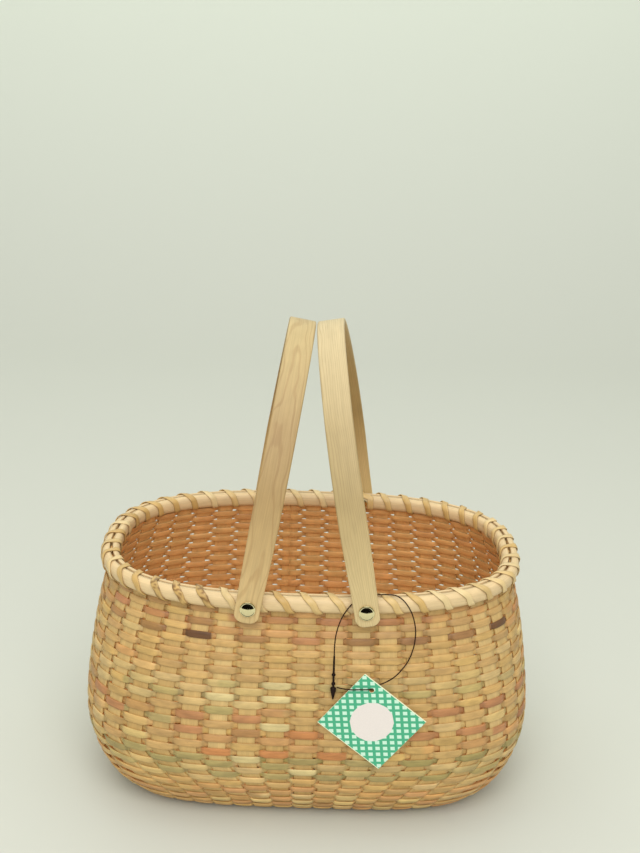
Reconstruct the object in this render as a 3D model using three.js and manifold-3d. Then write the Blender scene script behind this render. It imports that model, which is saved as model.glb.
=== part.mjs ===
// A small oval picnic basket. Flat strips are plaited into the base and turned up as the stakes of the
// wall, narrow weavers fill the wall between them, and a lashed pair of half-round hoops closes the rim.
// Two bent-wood handles swing on brass rivets, and a small card tag hangs on a loop of thin cord.
// Millimetres, +Z up, +X along the basket. The origin is on the floor under the middle of the basket.
import * as THREE from "three";
import { mergeVertices } from "three/addons/utils/BufferGeometryUtils.js";
import Module from "manifold-3d";

const wasm = await Module();
wasm.setup();

// Outline of the basket, seen from above, at the outer edge of the rim.
const rimHalfLength = 121.3;
const rimHalfWidth = 81.7;
const rimSquareness = 2.62; // exponent of the oval: 2 is an ellipse, more is squarer
const footSquareness = 3.75;

// Outline of the wall, seen from the side. An outset is measured outwards from the rim's outer edge.
const bodyHeight = 141.2;
const footOutset = -20;
const footRingWidth = 6; // the flat band of weavers that the basket stands on
const bellyOutset = 8.8;
const bellyHeight = 52;
const heelRoundness = 1.6; // exponent of the curve from the foot to the belly
const shoulderFall = 1.71; // exponent of the curve from the belly to the rim
const weaveThickness = 1.6; // one weaver outside the stake and one inside
const weaveRelief = 1.1; // how far a weaver drops behind the next stake
const weaverRows = 38;
const rowCrowding = 0.08; // how much the rows gather near the rim and near the foot
const heelLevels = 3;
const shoulderLevels = 3;
const cornerShare = 0.5; // how much the facets of the hoops and the inner face gather at the rounded ends

// Stakes: strips that cross the base and stand up on both sides.
const crossStakes = 15;
const longStakes = 9;
const stakeCrowding = 0.07; // how much the stakes gather at the rounded ends
const stakeWidth = 10;
const stakeThickness = 0.9;
const crossSpacing = 11.3; // on the base, between strips that run front to back
const longSpacing = 11.4; // on the base, between strips that run end to end
const plaitGap = 0.3; // between strips where they cross
const stakeGap = 0.4; // between the stakes and the weavers or hoops
const stakeTopDrop = 2; // the stakes end a little below the top of the hoops

// The rim: two hoops with the stakes between them.
const hoopHeight = 9;
const outerHoopThickness = 4.4;
const innerHoopThickness = 3.9;
const hoopChamfer = 1.4;

// The flat cane that is wound round both hoops, once in every gap between two stakes.
const lashWidth = 3.9;
const lashWaist = 2.5; // its width where it dips between two stakes
const lashThickness = 0.7;
const lashGap = 0.3;

// Handles. The rise is from the rivet to the top of the arch.
const handleWidth = 15.2;
const handleThickness = 3;
const handleRise = 138.3;
const handleArchStart = 20; // above the rivet
const handleArchRoundness = 1.85;
const handleTail = 8.3; // below the rivet
const handleTailRound = 2.5;
const handleClearance = 0.5; // to the lashing
const handleTopGap = 0.4; // between the two handles at rest

// Rivets. Each goes through the second stake from the middle, a little beyond that stake's middle.
const rivetStake = 2;
const rivetOffset = 2.4;
const shankRadius = 1.6;
const shankClearance = 0.3;
const rivetHeadRadius = 4.3;
const rivetHeadRise = 1.5;
const rivetSeatGap = 0.3;
const clinchRadius = 3;
const clinchThickness = 1.7;
const clinchSocket = 1;

// The tag, its cord and the plug that locks the cord.
const tagLength = 44;
const tagWidth = 39;
const tagThickness = 0.5;
const tagTurn = 39.3; // degrees that its long side hangs below level
const tagCentre = [36.5, -91.0, 74.4]; // its back face
const tagHole = [-12.8, 14.35]; // from the tag's centre, along its long and short sides
const tagHoleRadius = 1.4;
const cordDiameter = 0.8;
const cordSides = 6;
const cordSteps = 72;
const lockTip = [15.1, -88.8, 86.0];
const lockHeadRadius = 1.6;
const lockStemRadius = 0.6;
const cordRoute = [
  [15.1, -88.8, 112.6],
  [15.1, -88.3, 117.0],
  [15.5, -87.1, 122.5],
  [16.7, -85.8, 127.7],
  [18.8, -84.3, 133.0],
  [21.2, -82.8, 136.5],
  [23.7, -82.3, 139.6],
  [26.6, -82.3, 142.0],
  [30.0, -81.8, 143.4],
  [34.0, -79.8, 143.8],
  [38.4, -77.8, 143.5],
  [43.3, -77.0, 143.3],
  [47.3, -78.0, 143.3],
  [51.3, -79.8, 141.2],
  [55.3, -81.2, 135.7],
  [57.7, -81.0, 128.0],
  [58.3, -80.8, 121.5],
  [57.6, -80.8, 114.3],
  [55.2, -82.0, 107.2],
  [51.6, -84.0, 102.4],
  [47.6, -86.0, 98.9],
  [42.2, -87.2, 95.9],
  [38.3, -88.6, 94.4],
  [35.78, -91.25, 93.61],
  [33.2, -93.1, 93.4],
  [29.4, -93.0, 93.2],
  [24.0, -92.7, 93.0],
  [19.8, -91.5, 92.7],
  [17.0, -89.85, 92.4],
];

// What follows from the sizes above.
const stakeCount = 2 * (crossStakes + longStakes);
const hoopBottom = bodyHeight - hoopHeight;
const hoopMiddle = bodyHeight - hoopHeight / 2;
const stakeDepth = weaveThickness + stakeGap; // from the wall's outer face to the stake's
const innerHoopDepth = outerHoopThickness + 2 * stakeGap + stakeThickness;
const rimThickness = innerHoopDepth + innerHoopThickness;
const lashReach = lashGap + lashThickness;
const weaveTop = hoopBottom - lashReach - lashGap;
const neckOutset = weaveThickness - outerHoopThickness; // brings the stakes between the hoops
const handleInner = rimHalfWidth + lashReach + handleClearance;
const handleOuter = handleInner + handleThickness;
const pivotZ = hoopMiddle;

const wood = new THREE.MeshStandardMaterial({ color: 0xdcbf8c, roughness: 0.7, metalness: 0 });
const paleWood = new THREE.MeshStandardMaterial({ color: 0xe9d3a6, roughness: 0.6, metalness: 0 });
const cane = new THREE.MeshStandardMaterial({ color: 0xd9b878, roughness: 0.55, metalness: 0 });
const brass = new THREE.MeshStandardMaterial({ color: 0xe3cf86, roughness: 0.2, metalness: 1 });
const mint = new THREE.MeshStandardMaterial({ color: 0x5cc4a0, roughness: 0.7, metalness: 0 });
const dark = new THREE.MeshStandardMaterial({ color: 0x2a1c16, roughness: 0.5, metalness: 0 });

const basket = new THREE.Group();

function place(name, geometry, material, parent = basket) {
  const mesh = new THREE.Mesh(geometry, material);
  mesh.name = name;
  parent.add(mesh);
  return mesh;
}

// A surface through rows of points. Each row is one closed loop, and the rows run along the piece.
// With closed set the last row joins the first, and otherwise both ends are covered. A face between four
// points is split from its first corner to the opposite one, or the other way where crossed says so.
function loft(rows, closed = false, crossed = () => false) {
  const sides = rows[0].length;
  const positions = rows.flat(2);
  const faces = [];
  const steps = closed ? rows.length : rows.length - 1;
  for (let i = 0; i < steps; i++) {
    const here = i * sides;
    const next = ((i + 1) % rows.length) * sides;
    for (let j = 0; j < sides; j++) {
      const k = (j + 1) % sides;
      if (crossed(i, j)) {
        faces.push(here + j, here + k, next + j, here + k, next + k, next + j);
      } else {
        faces.push(here + j, here + k, next + k, here + j, next + k, next + j);
      }
    }
  }
  if (!closed) {
    const last = (rows.length - 1) * sides;
    for (let j = 1; j < sides - 1; j++) {
      faces.push(0, j + 1, j);
      faces.push(last, last + j, last + j + 1);
    }
  }
  // Turn every face over if the surface came out facing inwards.
  let volume = 0;
  const corner = (n) => new THREE.Vector3(...positions.slice(3 * n, 3 * n + 3));
  for (let i = 0; i < faces.length; i += 3) {
    const [a, b, c] = [corner(faces[i]), corner(faces[i + 1]), corner(faces[i + 2])];
    volume += a.dot(b.cross(c));
  }
  if (volume < 0) {
    faces.reverse();
  }
  const geometry = new THREE.BufferGeometry();
  geometry.setAttribute("position", new THREE.Float32BufferAttribute(positions, 3));
  geometry.setIndex(faces);
  geometry.computeVertexNormals();
  return geometry;
}

function toSolid(geometry) {
  const bare = geometry.clone();
  bare.deleteAttribute("normal");
  bare.deleteAttribute("uv");
  const merged = mergeVertices(bare, 1e-4);
  return new wasm.Manifold(
    new wasm.Mesh({
      numProp: 3,
      vertProperties: merged.attributes.position.array,
      triVerts: new Uint32Array(merged.index.array),
    }),
  );
}

function fromSolid(solid) {
  const mesh = solid.getMesh();
  const geometry = new THREE.BufferGeometry();
  geometry.setAttribute("position", new THREE.BufferAttribute(new Float32Array(mesh.vertProperties), 3));
  geometry.setIndex(new THREE.BufferAttribute(new Uint32Array(mesh.triVerts), 1));
  geometry.computeVertexNormals();
  return geometry;
}

// The oval of one level, and the direction that faces out of it. The angle runs from +X towards +Y.
function ovalPoint(oval, angle) {
  const c = Math.cos(angle);
  const s = Math.sin(angle);
  const n = oval.squareness;
  const radius = (Math.abs(c) ** n + Math.abs(s) ** n) ** (-1 / n);
  return [oval.halfLength * radius * c, oval.halfWidth * radius * s];
}

function ovalNormal(oval, angle) {
  const [x, y] = ovalPoint(oval, angle);
  const n = oval.squareness;
  const nx = (Math.sign(x) * Math.abs(x / oval.halfLength) ** (n - 1)) / oval.halfLength;
  const ny = (Math.sign(y) * Math.abs(y / oval.halfWidth) ** (n - 1)) / oval.halfWidth;
  const size = Math.hypot(nx, ny);
  return [nx / size, ny / size];
}

function ovalAt(outset, squareness) {
  return {
    halfLength: rimHalfLength + outset,
    halfWidth: rimHalfWidth + outset,
    squareness,
  };
}

// The angle reached after going a distance along the oval.
function slide(oval, angle, distance) {
  const steps = 4;
  for (let i = 0; i < steps; i++) {
    const [ax, ay] = ovalPoint(oval, angle - 1e-4);
    const [bx, by] = ovalPoint(oval, angle + 1e-4);
    const speed = Math.hypot(bx - ax, by - ay) / 2e-4;
    angle += distance / steps / speed;
  }
  return angle;
}

// The angle where the oval meets a line of constant x, in front or behind, or of constant y at an end.
function angleAtX(oval, x, side) {
  const y = oval.halfWidth * (1 - Math.abs(x / oval.halfLength) ** oval.squareness) ** (1 / oval.squareness);
  return Math.atan2((side * y) / oval.halfWidth, x / oval.halfLength);
}

function angleAtY(oval, y, side) {
  const x = oval.halfLength * (1 - Math.abs(y / oval.halfWidth) ** oval.squareness) ** (1 / oval.squareness);
  return Math.atan2(y / oval.halfWidth, (side * x) / oval.halfLength);
}

// Places round an oval, counted from +X towards +Y as shares of one turn. They are even along the oval
// when turnShare is zero, and gather where the oval bends more as turnShare grows.
function placesRound(oval, turnShare) {
  const samples = 3600;
  const step = (2 * Math.PI) / samples;
  const lengths = [];
  const turns = [];
  for (let i = 0; i < samples; i++) {
    const [ax, ay] = ovalPoint(oval, i * step);
    const [bx, by] = ovalPoint(oval, (i + 1) * step);
    const [anx, any] = ovalNormal(oval, i * step);
    const [bnx, bny] = ovalNormal(oval, (i + 1) * step);
    lengths.push(Math.hypot(bx - ax, by - ay));
    turns.push(Math.hypot(bnx - anx, bny - any) / (2 * Math.PI));
  }
  const girth = lengths.reduce((sum, length) => sum + length, 0);
  const weights = [0];
  for (let i = 0; i < samples; i++) {
    weights.push(weights[i] + ((1 - turnShare) * lengths[i]) / girth + turnShare * turns[i]);
  }
  const angleOf = (share) => {
    const target = (share - Math.floor(share)) * weights[samples];
    let low = 0;
    let high = samples;
    while (high - low > 1) {
      const middle = (low + high) >> 1;
      if (weights[middle] <= target) low = middle;
      else high = middle;
    }
    return (low + (target - weights[low]) / (weights[high] - weights[low]) + samples * Math.floor(share)) * step;
  };
  return { girth, angleOf };
}

// The stakes stand round the rim. A slot is one stake's place, counted from +X towards +Y.
const rimOval = ovalAt(0, rimSquareness);
const stakeOval = ovalAt(-outerHoopThickness - stakeGap - stakeThickness / 2, rimSquareness);
const stakePlaces = placesRound(stakeOval, stakeCrowding);
const slotPitch = stakePlaces.girth / stakeCount;
const slotAngle = (slot) => stakePlaces.angleOf(slot / stakeCount);

// The wall's outline at one height: a round heel up to the belly, and a shoulder that draws in above it.
function wallAt(z) {
  if (z <= bellyHeight) {
    const reach = (1 - (1 - z / bellyHeight) ** heelRoundness) ** (1 / heelRoundness);
    return { outset: footOutset + (bellyOutset - footOutset) * reach, z };
  }
  const share = (z - bellyHeight) / (weaveTop - bellyHeight);
  return { outset: bellyOutset - (bellyOutset - neckOutset) * share ** shoulderFall, z };
}

// Gives each level its oval, and the direction out of the profile there, lengthened at a corner so that
// a layer at one depth keeps its distance to both neighbouring faces.
function facingOut(levels) {
  levels.forEach((level, i) => {
    const share = level.z / weaveTop;
    Object.assign(level, ovalAt(level.outset, footSquareness + (rimSquareness - footSquareness) * share));
    const facing = (a, b) => {
      const size = Math.hypot(b.outset - a.outset, b.z - a.z);
      return [(b.z - a.z) / size, -(b.outset - a.outset) / size];
    };
    const below = i > 0 ? facing(levels[i - 1], level) : null;
    const above = i < levels.length - 1 ? facing(level, levels[i + 1]) : null;
    const one = below || above;
    const two = above || below;
    const stretch = 1 + one[0] * two[0] + one[1] * two[1];
    level.out = (one[0] + two[0]) / stretch;
    level.up = (one[1] + two[1]) / stretch;
  });
  return levels;
}

// The wall's profile, from the inner edge of the foot to the top of the weave.
const profile = [{ outset: footOutset - footRingWidth, z: 0 }];
for (let i = 0; i <= heelLevels; i++) {
  profile.push(wallAt(bellyHeight * (1 - Math.cos((Math.PI / 2) * (i / heelLevels)))));
}
for (let i = 1; i <= shoulderLevels; i++) {
  profile.push(wallAt(bellyHeight + ((weaveTop - bellyHeight) * i) / shoulderLevels));
}
facingOut(profile);

// The middle of each row of weaving, from the foot up. The rows are counted from the top.
function rowLevels() {
  const samples = 2000;
  const arcs = [0];
  for (let i = 1; i <= samples; i++) {
    const a = wallAt((weaveTop * (i - 1)) / samples);
    const b = wallAt((weaveTop * i) / samples);
    arcs.push(arcs[i - 1] + Math.hypot(b.outset - a.outset, b.z - a.z));
  }
  const levels = [wallAt(0)];
  for (let row = weaverRows - 1; row >= 0; row--) {
    const share = (row + 0.5) / weaverRows;
    const down = share - (rowCrowding * Math.sin(2 * Math.PI * share)) / (2 * Math.PI);
    const arc = arcs[samples] * (1 - down);
    const i = arcs.findIndex((value) => value >= arc);
    const part = (arc - arcs[i - 1]) / (arcs[i] - arcs[i - 1]);
    levels.push({ ...wallAt((weaveTop * (i - 1 + part)) / samples), row });
  }
  levels.push(wallAt(weaveTop));
  return facingOut(levels);
}

// A point in the wall, at a depth below its outer face.
function onWall(level, angle, depth) {
  const [x, y] = ovalPoint(level, angle);
  const [nx, ny] = ovalNormal(level, angle);
  const inwards = depth * level.out;
  return [x - nx * inwards, y - ny * inwards, level.z - depth * level.up];
}

// A point in the rim, at a depth below its outer edge and a height above the floor.
function onRim(angle, depth, z) {
  const [x, y] = ovalPoint(rimOval, angle);
  const [nx, ny] = ovalNormal(rimOval, angle);
  return [x - nx * depth, y - ny * depth, z];
}

// The rivets' places follow the stake that they go through.
const stakeMiddleDepth = outerHoopThickness + stakeGap + stakeThickness / 2;
const rivetSlotAngle = slotAngle((stakeCount * 3) / 4 + rivetStake);
const pivotX = onRim(rivetSlotAngle, stakeMiddleDepth, 0)[0] + rivetOffset;

// Where the hoops and the inner face of the wall have a facet edge: one for each stake.
const facetPlaces = placesRound(rimOval, cornerShare);
const around = [];
for (let slot = 0; slot < stakeCount; slot++) {
  around.push(facetPlaces.angleOf(slot / stakeCount));
}

// A bore through the rim and a stake for each rivet, front and back.
function rivetBore(x, radius) {
  const bore = new THREE.CylinderGeometry(radius, radius, 4 * rimHalfWidth, 12);
  bore.translate(x, 0, pivotZ);
  return toSolid(bore);
}

function drilled(geometry) {
  let solid = toSolid(geometry);
  for (const x of [-pivotX, pivotX]) {
    solid = solid.subtract(rivetBore(x, shankRadius + shankClearance));
  }
  return fromSolid(solid);
}

// The two hoops. Each is flat towards the stakes and has its other two edges taken off.
function hoop(flatDepth, roundDepth) {
  const eased = roundDepth + Math.sign(flatDepth - roundDepth) * hoopChamfer;
  return around.map((angle) => [
    onRim(angle, flatDepth, hoopBottom),
    onRim(angle, flatDepth, bodyHeight),
    onRim(angle, eased, bodyHeight),
    onRim(angle, roundDepth, bodyHeight - hoopChamfer),
    onRim(angle, roundDepth, hoopBottom + hoopChamfer),
    onRim(angle, eased, hoopBottom),
  ]);
}
place("outer_hoop", drilled(loft(hoop(outerHoopThickness, 0), true)), paleWood);
place("inner_hoop", drilled(loft(hoop(innerHoopDepth, rimThickness), true)), paleWood);

// On the base the strips pass over and under each other. Each crossing is flat, so the two strips lie
// face to face there, and they change level in the gap between two crossings.
const plaitMiddle = stakeDepth + stakeThickness + plaitGap / 2;
const plaitLift = (stakeThickness + plaitGap) / 2;

function plaitLevel(i, j, isCross) {
  const over = (i + j) % 2 === 0;
  return plaitMiddle + (over === isCross ? plaitLift : -plaitLift);
}

// How far a stake has left its straight line on the base for its even place at the rim.
function fanShare(z) {
  const share = Math.min(1, z / bellyHeight);
  return share * share * (3 - 2 * share);
}

const nearTurn = (angle, other) => angle + 2 * Math.PI * Math.round((other - angle) / (2 * Math.PI));

// Above the belly a stake draws in towards the place straight below its own top between the hoops.
function drawnIn(level, even) {
  const [x, y] = onRim(even, -level.outset, 0);
  const below = nearTurn(Math.atan2(y / level.halfWidth, x / level.halfLength), even);
  const share = Math.max(0, (level.z - bellyHeight) / (weaveTop - bellyHeight));
  return even + (below - even) * share;
}

// The sections of a stake from the foot to the top, at one end of its strip. first and second are the
// distances of the strip's two edges from its middle, counted round the basket.
function stakeWallRows(slot, first, second) {
  const rows = [];
  const even = slotAngle(slot);
  for (const level of profile.slice(1)) {
    const angle = stakeAngle(level, slot);
    const a = slide(level, angle, first);
    const b = slide(level, angle, second);
    rows.push([
      onWall(level, a, stakeDepth),
      onWall(level, b, stakeDepth),
      onWall(level, b, stakeDepth + stakeThickness),
      onWall(level, a, stakeDepth + stakeThickness),
    ]);
  }
  const a = slide(rimOval, even, first);
  const b = slide(rimOval, even, second);
  const outerDepth = outerHoopThickness + stakeGap;
  const top = bodyHeight - stakeTopDrop;
  rows.push([
    onRim(a, outerDepth, top),
    onRim(b, outerDepth, top),
    onRim(b, outerDepth + stakeThickness, top),
    onRim(a, outerDepth + stakeThickness, top),
  ]);
  return rows;
}

const half = stakeWidth / 2;
const crossReach = (crossStakes - 1) / 2;
const longReach = (longStakes - 1) / 2;
const label = (n) => String(n).padStart(2, "0");

// Where a stake would stand at one level if its strip ran straight on from the base.
function straightAngle(level, slot) {
  const quarter = stakeCount / 4;
  const turn = (n) => n - stakeCount * Math.round(n / stakeCount);
  for (const [middle, side] of [[-quarter, -1], [quarter, 1]]) {
    const i = turn(slot - middle) * -side;
    if (Math.abs(i) <= crossReach) return angleAtX(level, i * crossSpacing, side);
  }
  const right = turn(slot);
  if (Math.abs(right) <= longReach) return angleAtY(level, right * longSpacing, 1);
  return angleAtY(level, -turn(slot - stakeCount / 2) * longSpacing, -1);
}

function stakeAngle(level, slot) {
  const even = slotAngle(slot);
  const straight = nearTurn(straightAngle(level, slot), even);
  return straight + (drawnIn(level, even) - straight) * fanShare(level.z);
}

// The weavers of the wall, as one shell that is open at the top and at the base. Its outer face has a
// high point where a row passes over a stake and a low one where the row drops behind it.
const woven = rowLevels();
const isRow = (level) => level.row !== undefined;
const passesOver = (level, slot) => isRow(level) && (level.row + slot) % 2 === 0;
const dropAt = (level, slot) => (isRow(level) && !passesOver(level, slot) ? weaveRelief : 0);
const shellRows = around.map((angle, slot) => [
  onWall(profile[0], angle, 0),
  ...woven.map((level) => onWall(level, stakeAngle(level, slot), dropAt(level, slot))),
  ...profile.map((level) => onWall(level, angle, weaveThickness)).reverse(),
]);
// The faces are split between the low points, so that each high point keeps four faces of its own.
const fromHighPoint = (slot, point) =>
  point > 0 && point <= woven.length && passesOver(woven[point - 1], slot);
place("weave_shell", loft(shellRows, true, fromHighPoint), wood);

for (let i = -crossReach; i <= crossReach; i++) {
  const x = i * crossSpacing;
  const frontSlot = (stakeCount * 3) / 4 + i;
  const rearSlot = stakeCount / 4 - i;
  const front = stakeWallRows(frontSlot, -half, half);
  const rear = stakeWallRows(rearSlot, half, -half);
  const base = [];
  for (let j = -longReach; j <= longReach; j++) {
    const low = plaitLevel(i, j, true) - stakeThickness / 2;
    const high = low + stakeThickness;
    for (const y of [j * longSpacing - half, j * longSpacing + half]) {
      base.push([
        [x - half, y, low],
        [x + half, y, low],
        [x + half, y, high],
        [x - half, y, high],
      ]);
    }
  }
  const strip = loft([...front.reverse(), ...base, ...rear]);
  place("cross_stake_" + label(i + crossReach + 1), drilled(strip), wood);
}

for (let j = -longReach; j <= longReach; j++) {
  const y = j * longSpacing;
  const leftSlot = stakeCount / 2 - j;
  const left = stakeWallRows(leftSlot, half, -half);
  const right = stakeWallRows(j, -half, half);
  const base = [];
  for (let i = -crossReach; i <= crossReach; i++) {
    const low = plaitLevel(i, j, false) - stakeThickness / 2;
    const high = low + stakeThickness;
    for (const x of [i * crossSpacing - half, i * crossSpacing + half]) {
      base.push([
        [x, y - half, low],
        [x, y + half, low],
        [x, y + half, high],
        [x, y - half, high],
      ]);
    }
  }
  place("long_stake_" + label(j + longReach + 1), loft([...left.reverse(), ...base, ...right]), wood);
}

// The lashing. It dips under the hoops in each gap, climbs the inner face, crosses the top and slants
// down the outer face to the next gap. Beside a rivet it is pushed along to clear the shank or clinch.
function rivetSlots(depth) {
  const slots = [];
  for (const x of [-pivotX, pivotX]) {
    for (const side of [-1, 1]) {
      let slot = side < 0 ? (stakeCount * 3) / 4 : stakeCount / 4;
      for (let i = 0; i < 40; i++) {
        slot += (side * (onRim(slotAngle(slot), depth, 0)[0] - x)) / slotPitch;
      }
      slots.push(slot);
    }
  }
  return slots;
}

function clearOfRivets(slot, gapSlot, depth, reach) {
  for (const rivet of rivetSlots(depth)) {
    const turns = Math.round((slot - rivet) / stakeCount);
    const middle = rivet + turns * stakeCount;
    if (Math.abs(slot - middle) < reach) {
      slot = middle + Math.sign(gapSlot - middle) * reach;
    }
  }
  return slot;
}

const shankReach = (lashWidth / 2 + shankRadius + lashGap) / slotPitch;
const clinchReach = (lashWidth / 2 + clinchRadius + lashGap) / slotPitch;
const innerEdge = rimThickness - hoopChamfer;

// Where the cane touches the rim: depth, height, and the place round the rim counted from the gap.
// The two numbers out and rise point away from the hoops, lengthened at the corners.
const corner = Math.tan(Math.PI / 8);
const lashTurn = [
  { depth: hoopChamfer, z: hoopBottom, out: corner, rise: -1, along: 0, dip: true },
  { depth: innerEdge, z: hoopBottom, out: -corner, rise: -1, along: 0, dip: true },
  { depth: rimThickness, z: hoopBottom + hoopChamfer, out: -1, rise: -corner, along: 0.03, inside: true },
  { depth: rimThickness, z: bodyHeight - hoopChamfer, out: -1, rise: corner, along: 0.22, inside: true },
  { depth: innerEdge, z: bodyHeight, out: -corner, rise: 1, along: 0.3 },
  { depth: hoopChamfer, z: bodyHeight, out: corner, rise: 1, along: 0.46 },
  { depth: 0, z: bodyHeight - hoopChamfer, out: 1, rise: corner, along: 0.54, outside: true },
  { depth: 0, z: hoopBottom + hoopChamfer, out: 1, rise: -corner, along: 0.96, outside: true },
];
const lashRows = [];
for (let turn = 0; turn < stakeCount; turn++) {
  const gapSlot = turn + 0.5;
  for (const spot of lashTurn) {
    let slot = gapSlot + spot.along;
    if (spot.inside) slot = clearOfRivets(slot, gapSlot, rimThickness, clinchReach);
    if (spot.outside) slot = clearOfRivets(slot, gapSlot + 1, 0, shankReach);
    const side = (spot.dip ? lashWaist : lashWidth) / 2;
    const a = slide(rimOval, slotAngle(slot), -side);
    const b = slide(rimOval, slotAngle(slot), side);
    const row = [];
    for (const [angle, gap] of [[a, lashGap], [b, lashGap], [b, lashReach], [a, lashReach]]) {
      row.push(onRim(angle, spot.depth - spot.out * gap, spot.z + spot.rise * gap));
    }
    lashRows.push(row);
  }
}
place("rim_lashing", loft(lashRows), cane);

// The handles. In its own frame a handle is upright, with the rivet axis along Y through the origin.
function handleGeometry() {
  const rows = [];
  const section = (y, z, ny, nz, halfWidth) => [
    [-halfWidth, y, z],
    [halfWidth, y, z],
    [halfWidth, y - ny * handleThickness, z - nz * handleThickness],
    [-halfWidth, y - ny * handleThickness, z - nz * handleThickness],
  ];
  const full = handleWidth / 2;
  const tail = [];
  for (const turn of [0, 45, 90]) {
    const a = (turn * Math.PI) / 180;
    tail.push(
      section(
        -handleOuter,
        -handleTail + handleTailRound * (1 - Math.sin(a)),
        -1,
        0,
        full - handleTailRound * (1 - Math.cos(a)),
      ),
    );
  }
  tail.reverse();
  rows.push(...tail);
  rows.push(section(-handleOuter, handleArchStart, -1, 0, full));
  const steps = 24;
  const rise = handleRise - handleArchStart;
  const power = 2 / handleArchRoundness;
  const archPoint = (a) => [
    -handleOuter * Math.sign(Math.cos(a)) * Math.abs(Math.cos(a)) ** power,
    handleArchStart + rise * Math.abs(Math.sin(a)) ** power,
  ];
  for (let i = 1; i < steps; i++) {
    const a = (Math.PI * i) / steps;
    const [y, z] = archPoint(a);
    const n = handleArchRoundness;
    const ny = (Math.sign(y) * Math.abs(y / handleOuter) ** (n - 1)) / handleOuter;
    const nz = Math.abs((z - handleArchStart) / rise) ** (n - 1) / rise;
    const size = Math.hypot(ny, nz);
    rows.push(section(y, z, ny / size, nz / size, full));
  }
  rows.push(section(handleOuter, handleArchStart, 1, 0, full));
  for (const row of [...tail].reverse()) {
    rows.push(row.map(([x, y, z]) => [x, -y, z]));
  }
  const strip = toSolid(loft(rows));
  const bore = new THREE.CylinderGeometry(
    shankRadius + shankClearance,
    shankRadius + shankClearance,
    4 * rimHalfWidth,
    20,
  );
  return fromSolid(strip.subtract(toSolid(bore)));
}

// At rest the handles lean together until the tops of the arches all but touch.
const topCorner = Math.hypot(handleRise, handleWidth / 2);
const lean =
  Math.asin((pivotX - handleTopGap / 2) / topCorner) - Math.atan2(handleWidth / 2, handleRise);

for (const [name, side] of [["handle_left", -1], ["handle_right", 1]]) {
  const pivot = new THREE.Group();
  pivot.position.set(side * pivotX, 0, pivotZ);
  pivot.rotation.y = -side * lean;
  basket.add(pivot);
  place(name, handleGeometry(), paleWood, pivot);
}

// The rivets. Each is made with its axis along Y, its head towards +Y, and is turned to its side.
function innerFaceAt(x) {
  const count = 200;
  let best = 0;
  let miss = Infinity;
  for (let i = 0; i <= count; i++) {
    const angle = (Math.PI / 2) * (i / count);
    const [px, py] = onRim(angle, rimThickness, 0);
    if (Math.abs(px - x) < miss) {
      miss = Math.abs(px - x);
      best = py;
    }
  }
  return best;
}

const headSeat = handleOuter + rivetSeatGap;
const clinchSeat = innerFaceAt(pivotX + clinchRadius) - rivetSeatGap;
const shankEnd = clinchSeat - clinchSocket + rivetSeatGap;

const rivetProfile = [
  [0, shankEnd],
  [shankRadius, shankEnd],
  [shankRadius, headSeat],
  [rivetHeadRadius, headSeat],
  [rivetHeadRadius, headSeat + 0.3 * rivetHeadRise],
  [0.82 * rivetHeadRadius, headSeat + 0.66 * rivetHeadRise],
  [0.5 * rivetHeadRadius, headSeat + 0.9 * rivetHeadRise],
  [0, headSeat + rivetHeadRise],
];
const socketRadius = shankRadius + shankClearance;
const clinchProfile = [
  [0, clinchSeat - clinchThickness],
  [0.6 * clinchRadius, clinchSeat - 0.9 * clinchThickness],
  [clinchRadius, clinchSeat - 0.4 * clinchThickness],
  [clinchRadius, clinchSeat],
  [socketRadius, clinchSeat],
  [socketRadius, clinchSeat - clinchSocket],
  [0, clinchSeat - clinchSocket],
];

function revolve(points, segments) {
  return new THREE.LatheGeometry(
    points.map(([r, h]) => new THREE.Vector2(r, h)),
    segments,
  );
}

for (const [row, side] of [["front", -1], ["rear", 1]]) {
  for (const [end, x] of [["left", -pivotX], ["right", pivotX]]) {
    const seat = new THREE.Group();
    seat.position.set(x, 0, pivotZ);
    seat.rotation.z = side < 0 ? Math.PI : 0;
    basket.add(seat);
    place(`rivet_${row}_${end}`, revolve(rivetProfile, 10), brass, seat);
    place(`clinch_${row}_${end}`, revolve(clinchProfile, 10), brass, seat);
  }
}

// The tag hangs flat in front of the wall. Its hole is near one corner.
const tagShape = new THREE.Shape();
tagShape.moveTo(-tagLength / 2, -tagWidth / 2);
tagShape.lineTo(tagLength / 2, -tagWidth / 2);
tagShape.lineTo(tagLength / 2, tagWidth / 2);
tagShape.lineTo(-tagLength / 2, tagWidth / 2);
const hole = new THREE.Path();
hole.absarc(tagHole[0], tagHole[1], tagHoleRadius, 0, 2 * Math.PI, true);
tagShape.holes.push(hole);
const tagGeometry = new THREE.ExtrudeGeometry(tagShape, {
  depth: tagThickness,
  bevelEnabled: false,
  curveSegments: 12,
});
tagGeometry.rotateX(Math.PI / 2);
const tag = place("tag_card", tagGeometry, mint);
tag.position.set(...tagCentre);
tag.rotation.y = THREE.MathUtils.degToRad(tagTurn);

// The plug: a barbed head, two collars and a thin stem that the cord comes out of.
const lockProfile = [
  [0, 0],
  [0.4, 0],
  [lockHeadRadius, 5.8],
  [lockHeadRadius, 6.9],
  [lockStemRadius, 7.5],
  [lockStemRadius, 8.6],
  [1.1, 9.1],
  [1.1, 9.9],
  [lockStemRadius, 10.4],
  [lockStemRadius, 14],
  [1.1, 14.5],
  [1.1, 15.3],
  [lockStemRadius, 15.8],
  [0.5, cordRoute[0][2] - lockTip[2] - 0.3],
  [0, cordRoute[0][2] - lockTip[2] - 0.3],
];
const lock = place("tag_lock", revolve(lockProfile, 10).rotateX(Math.PI / 2), dark);
lock.position.set(...lockTip);

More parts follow.
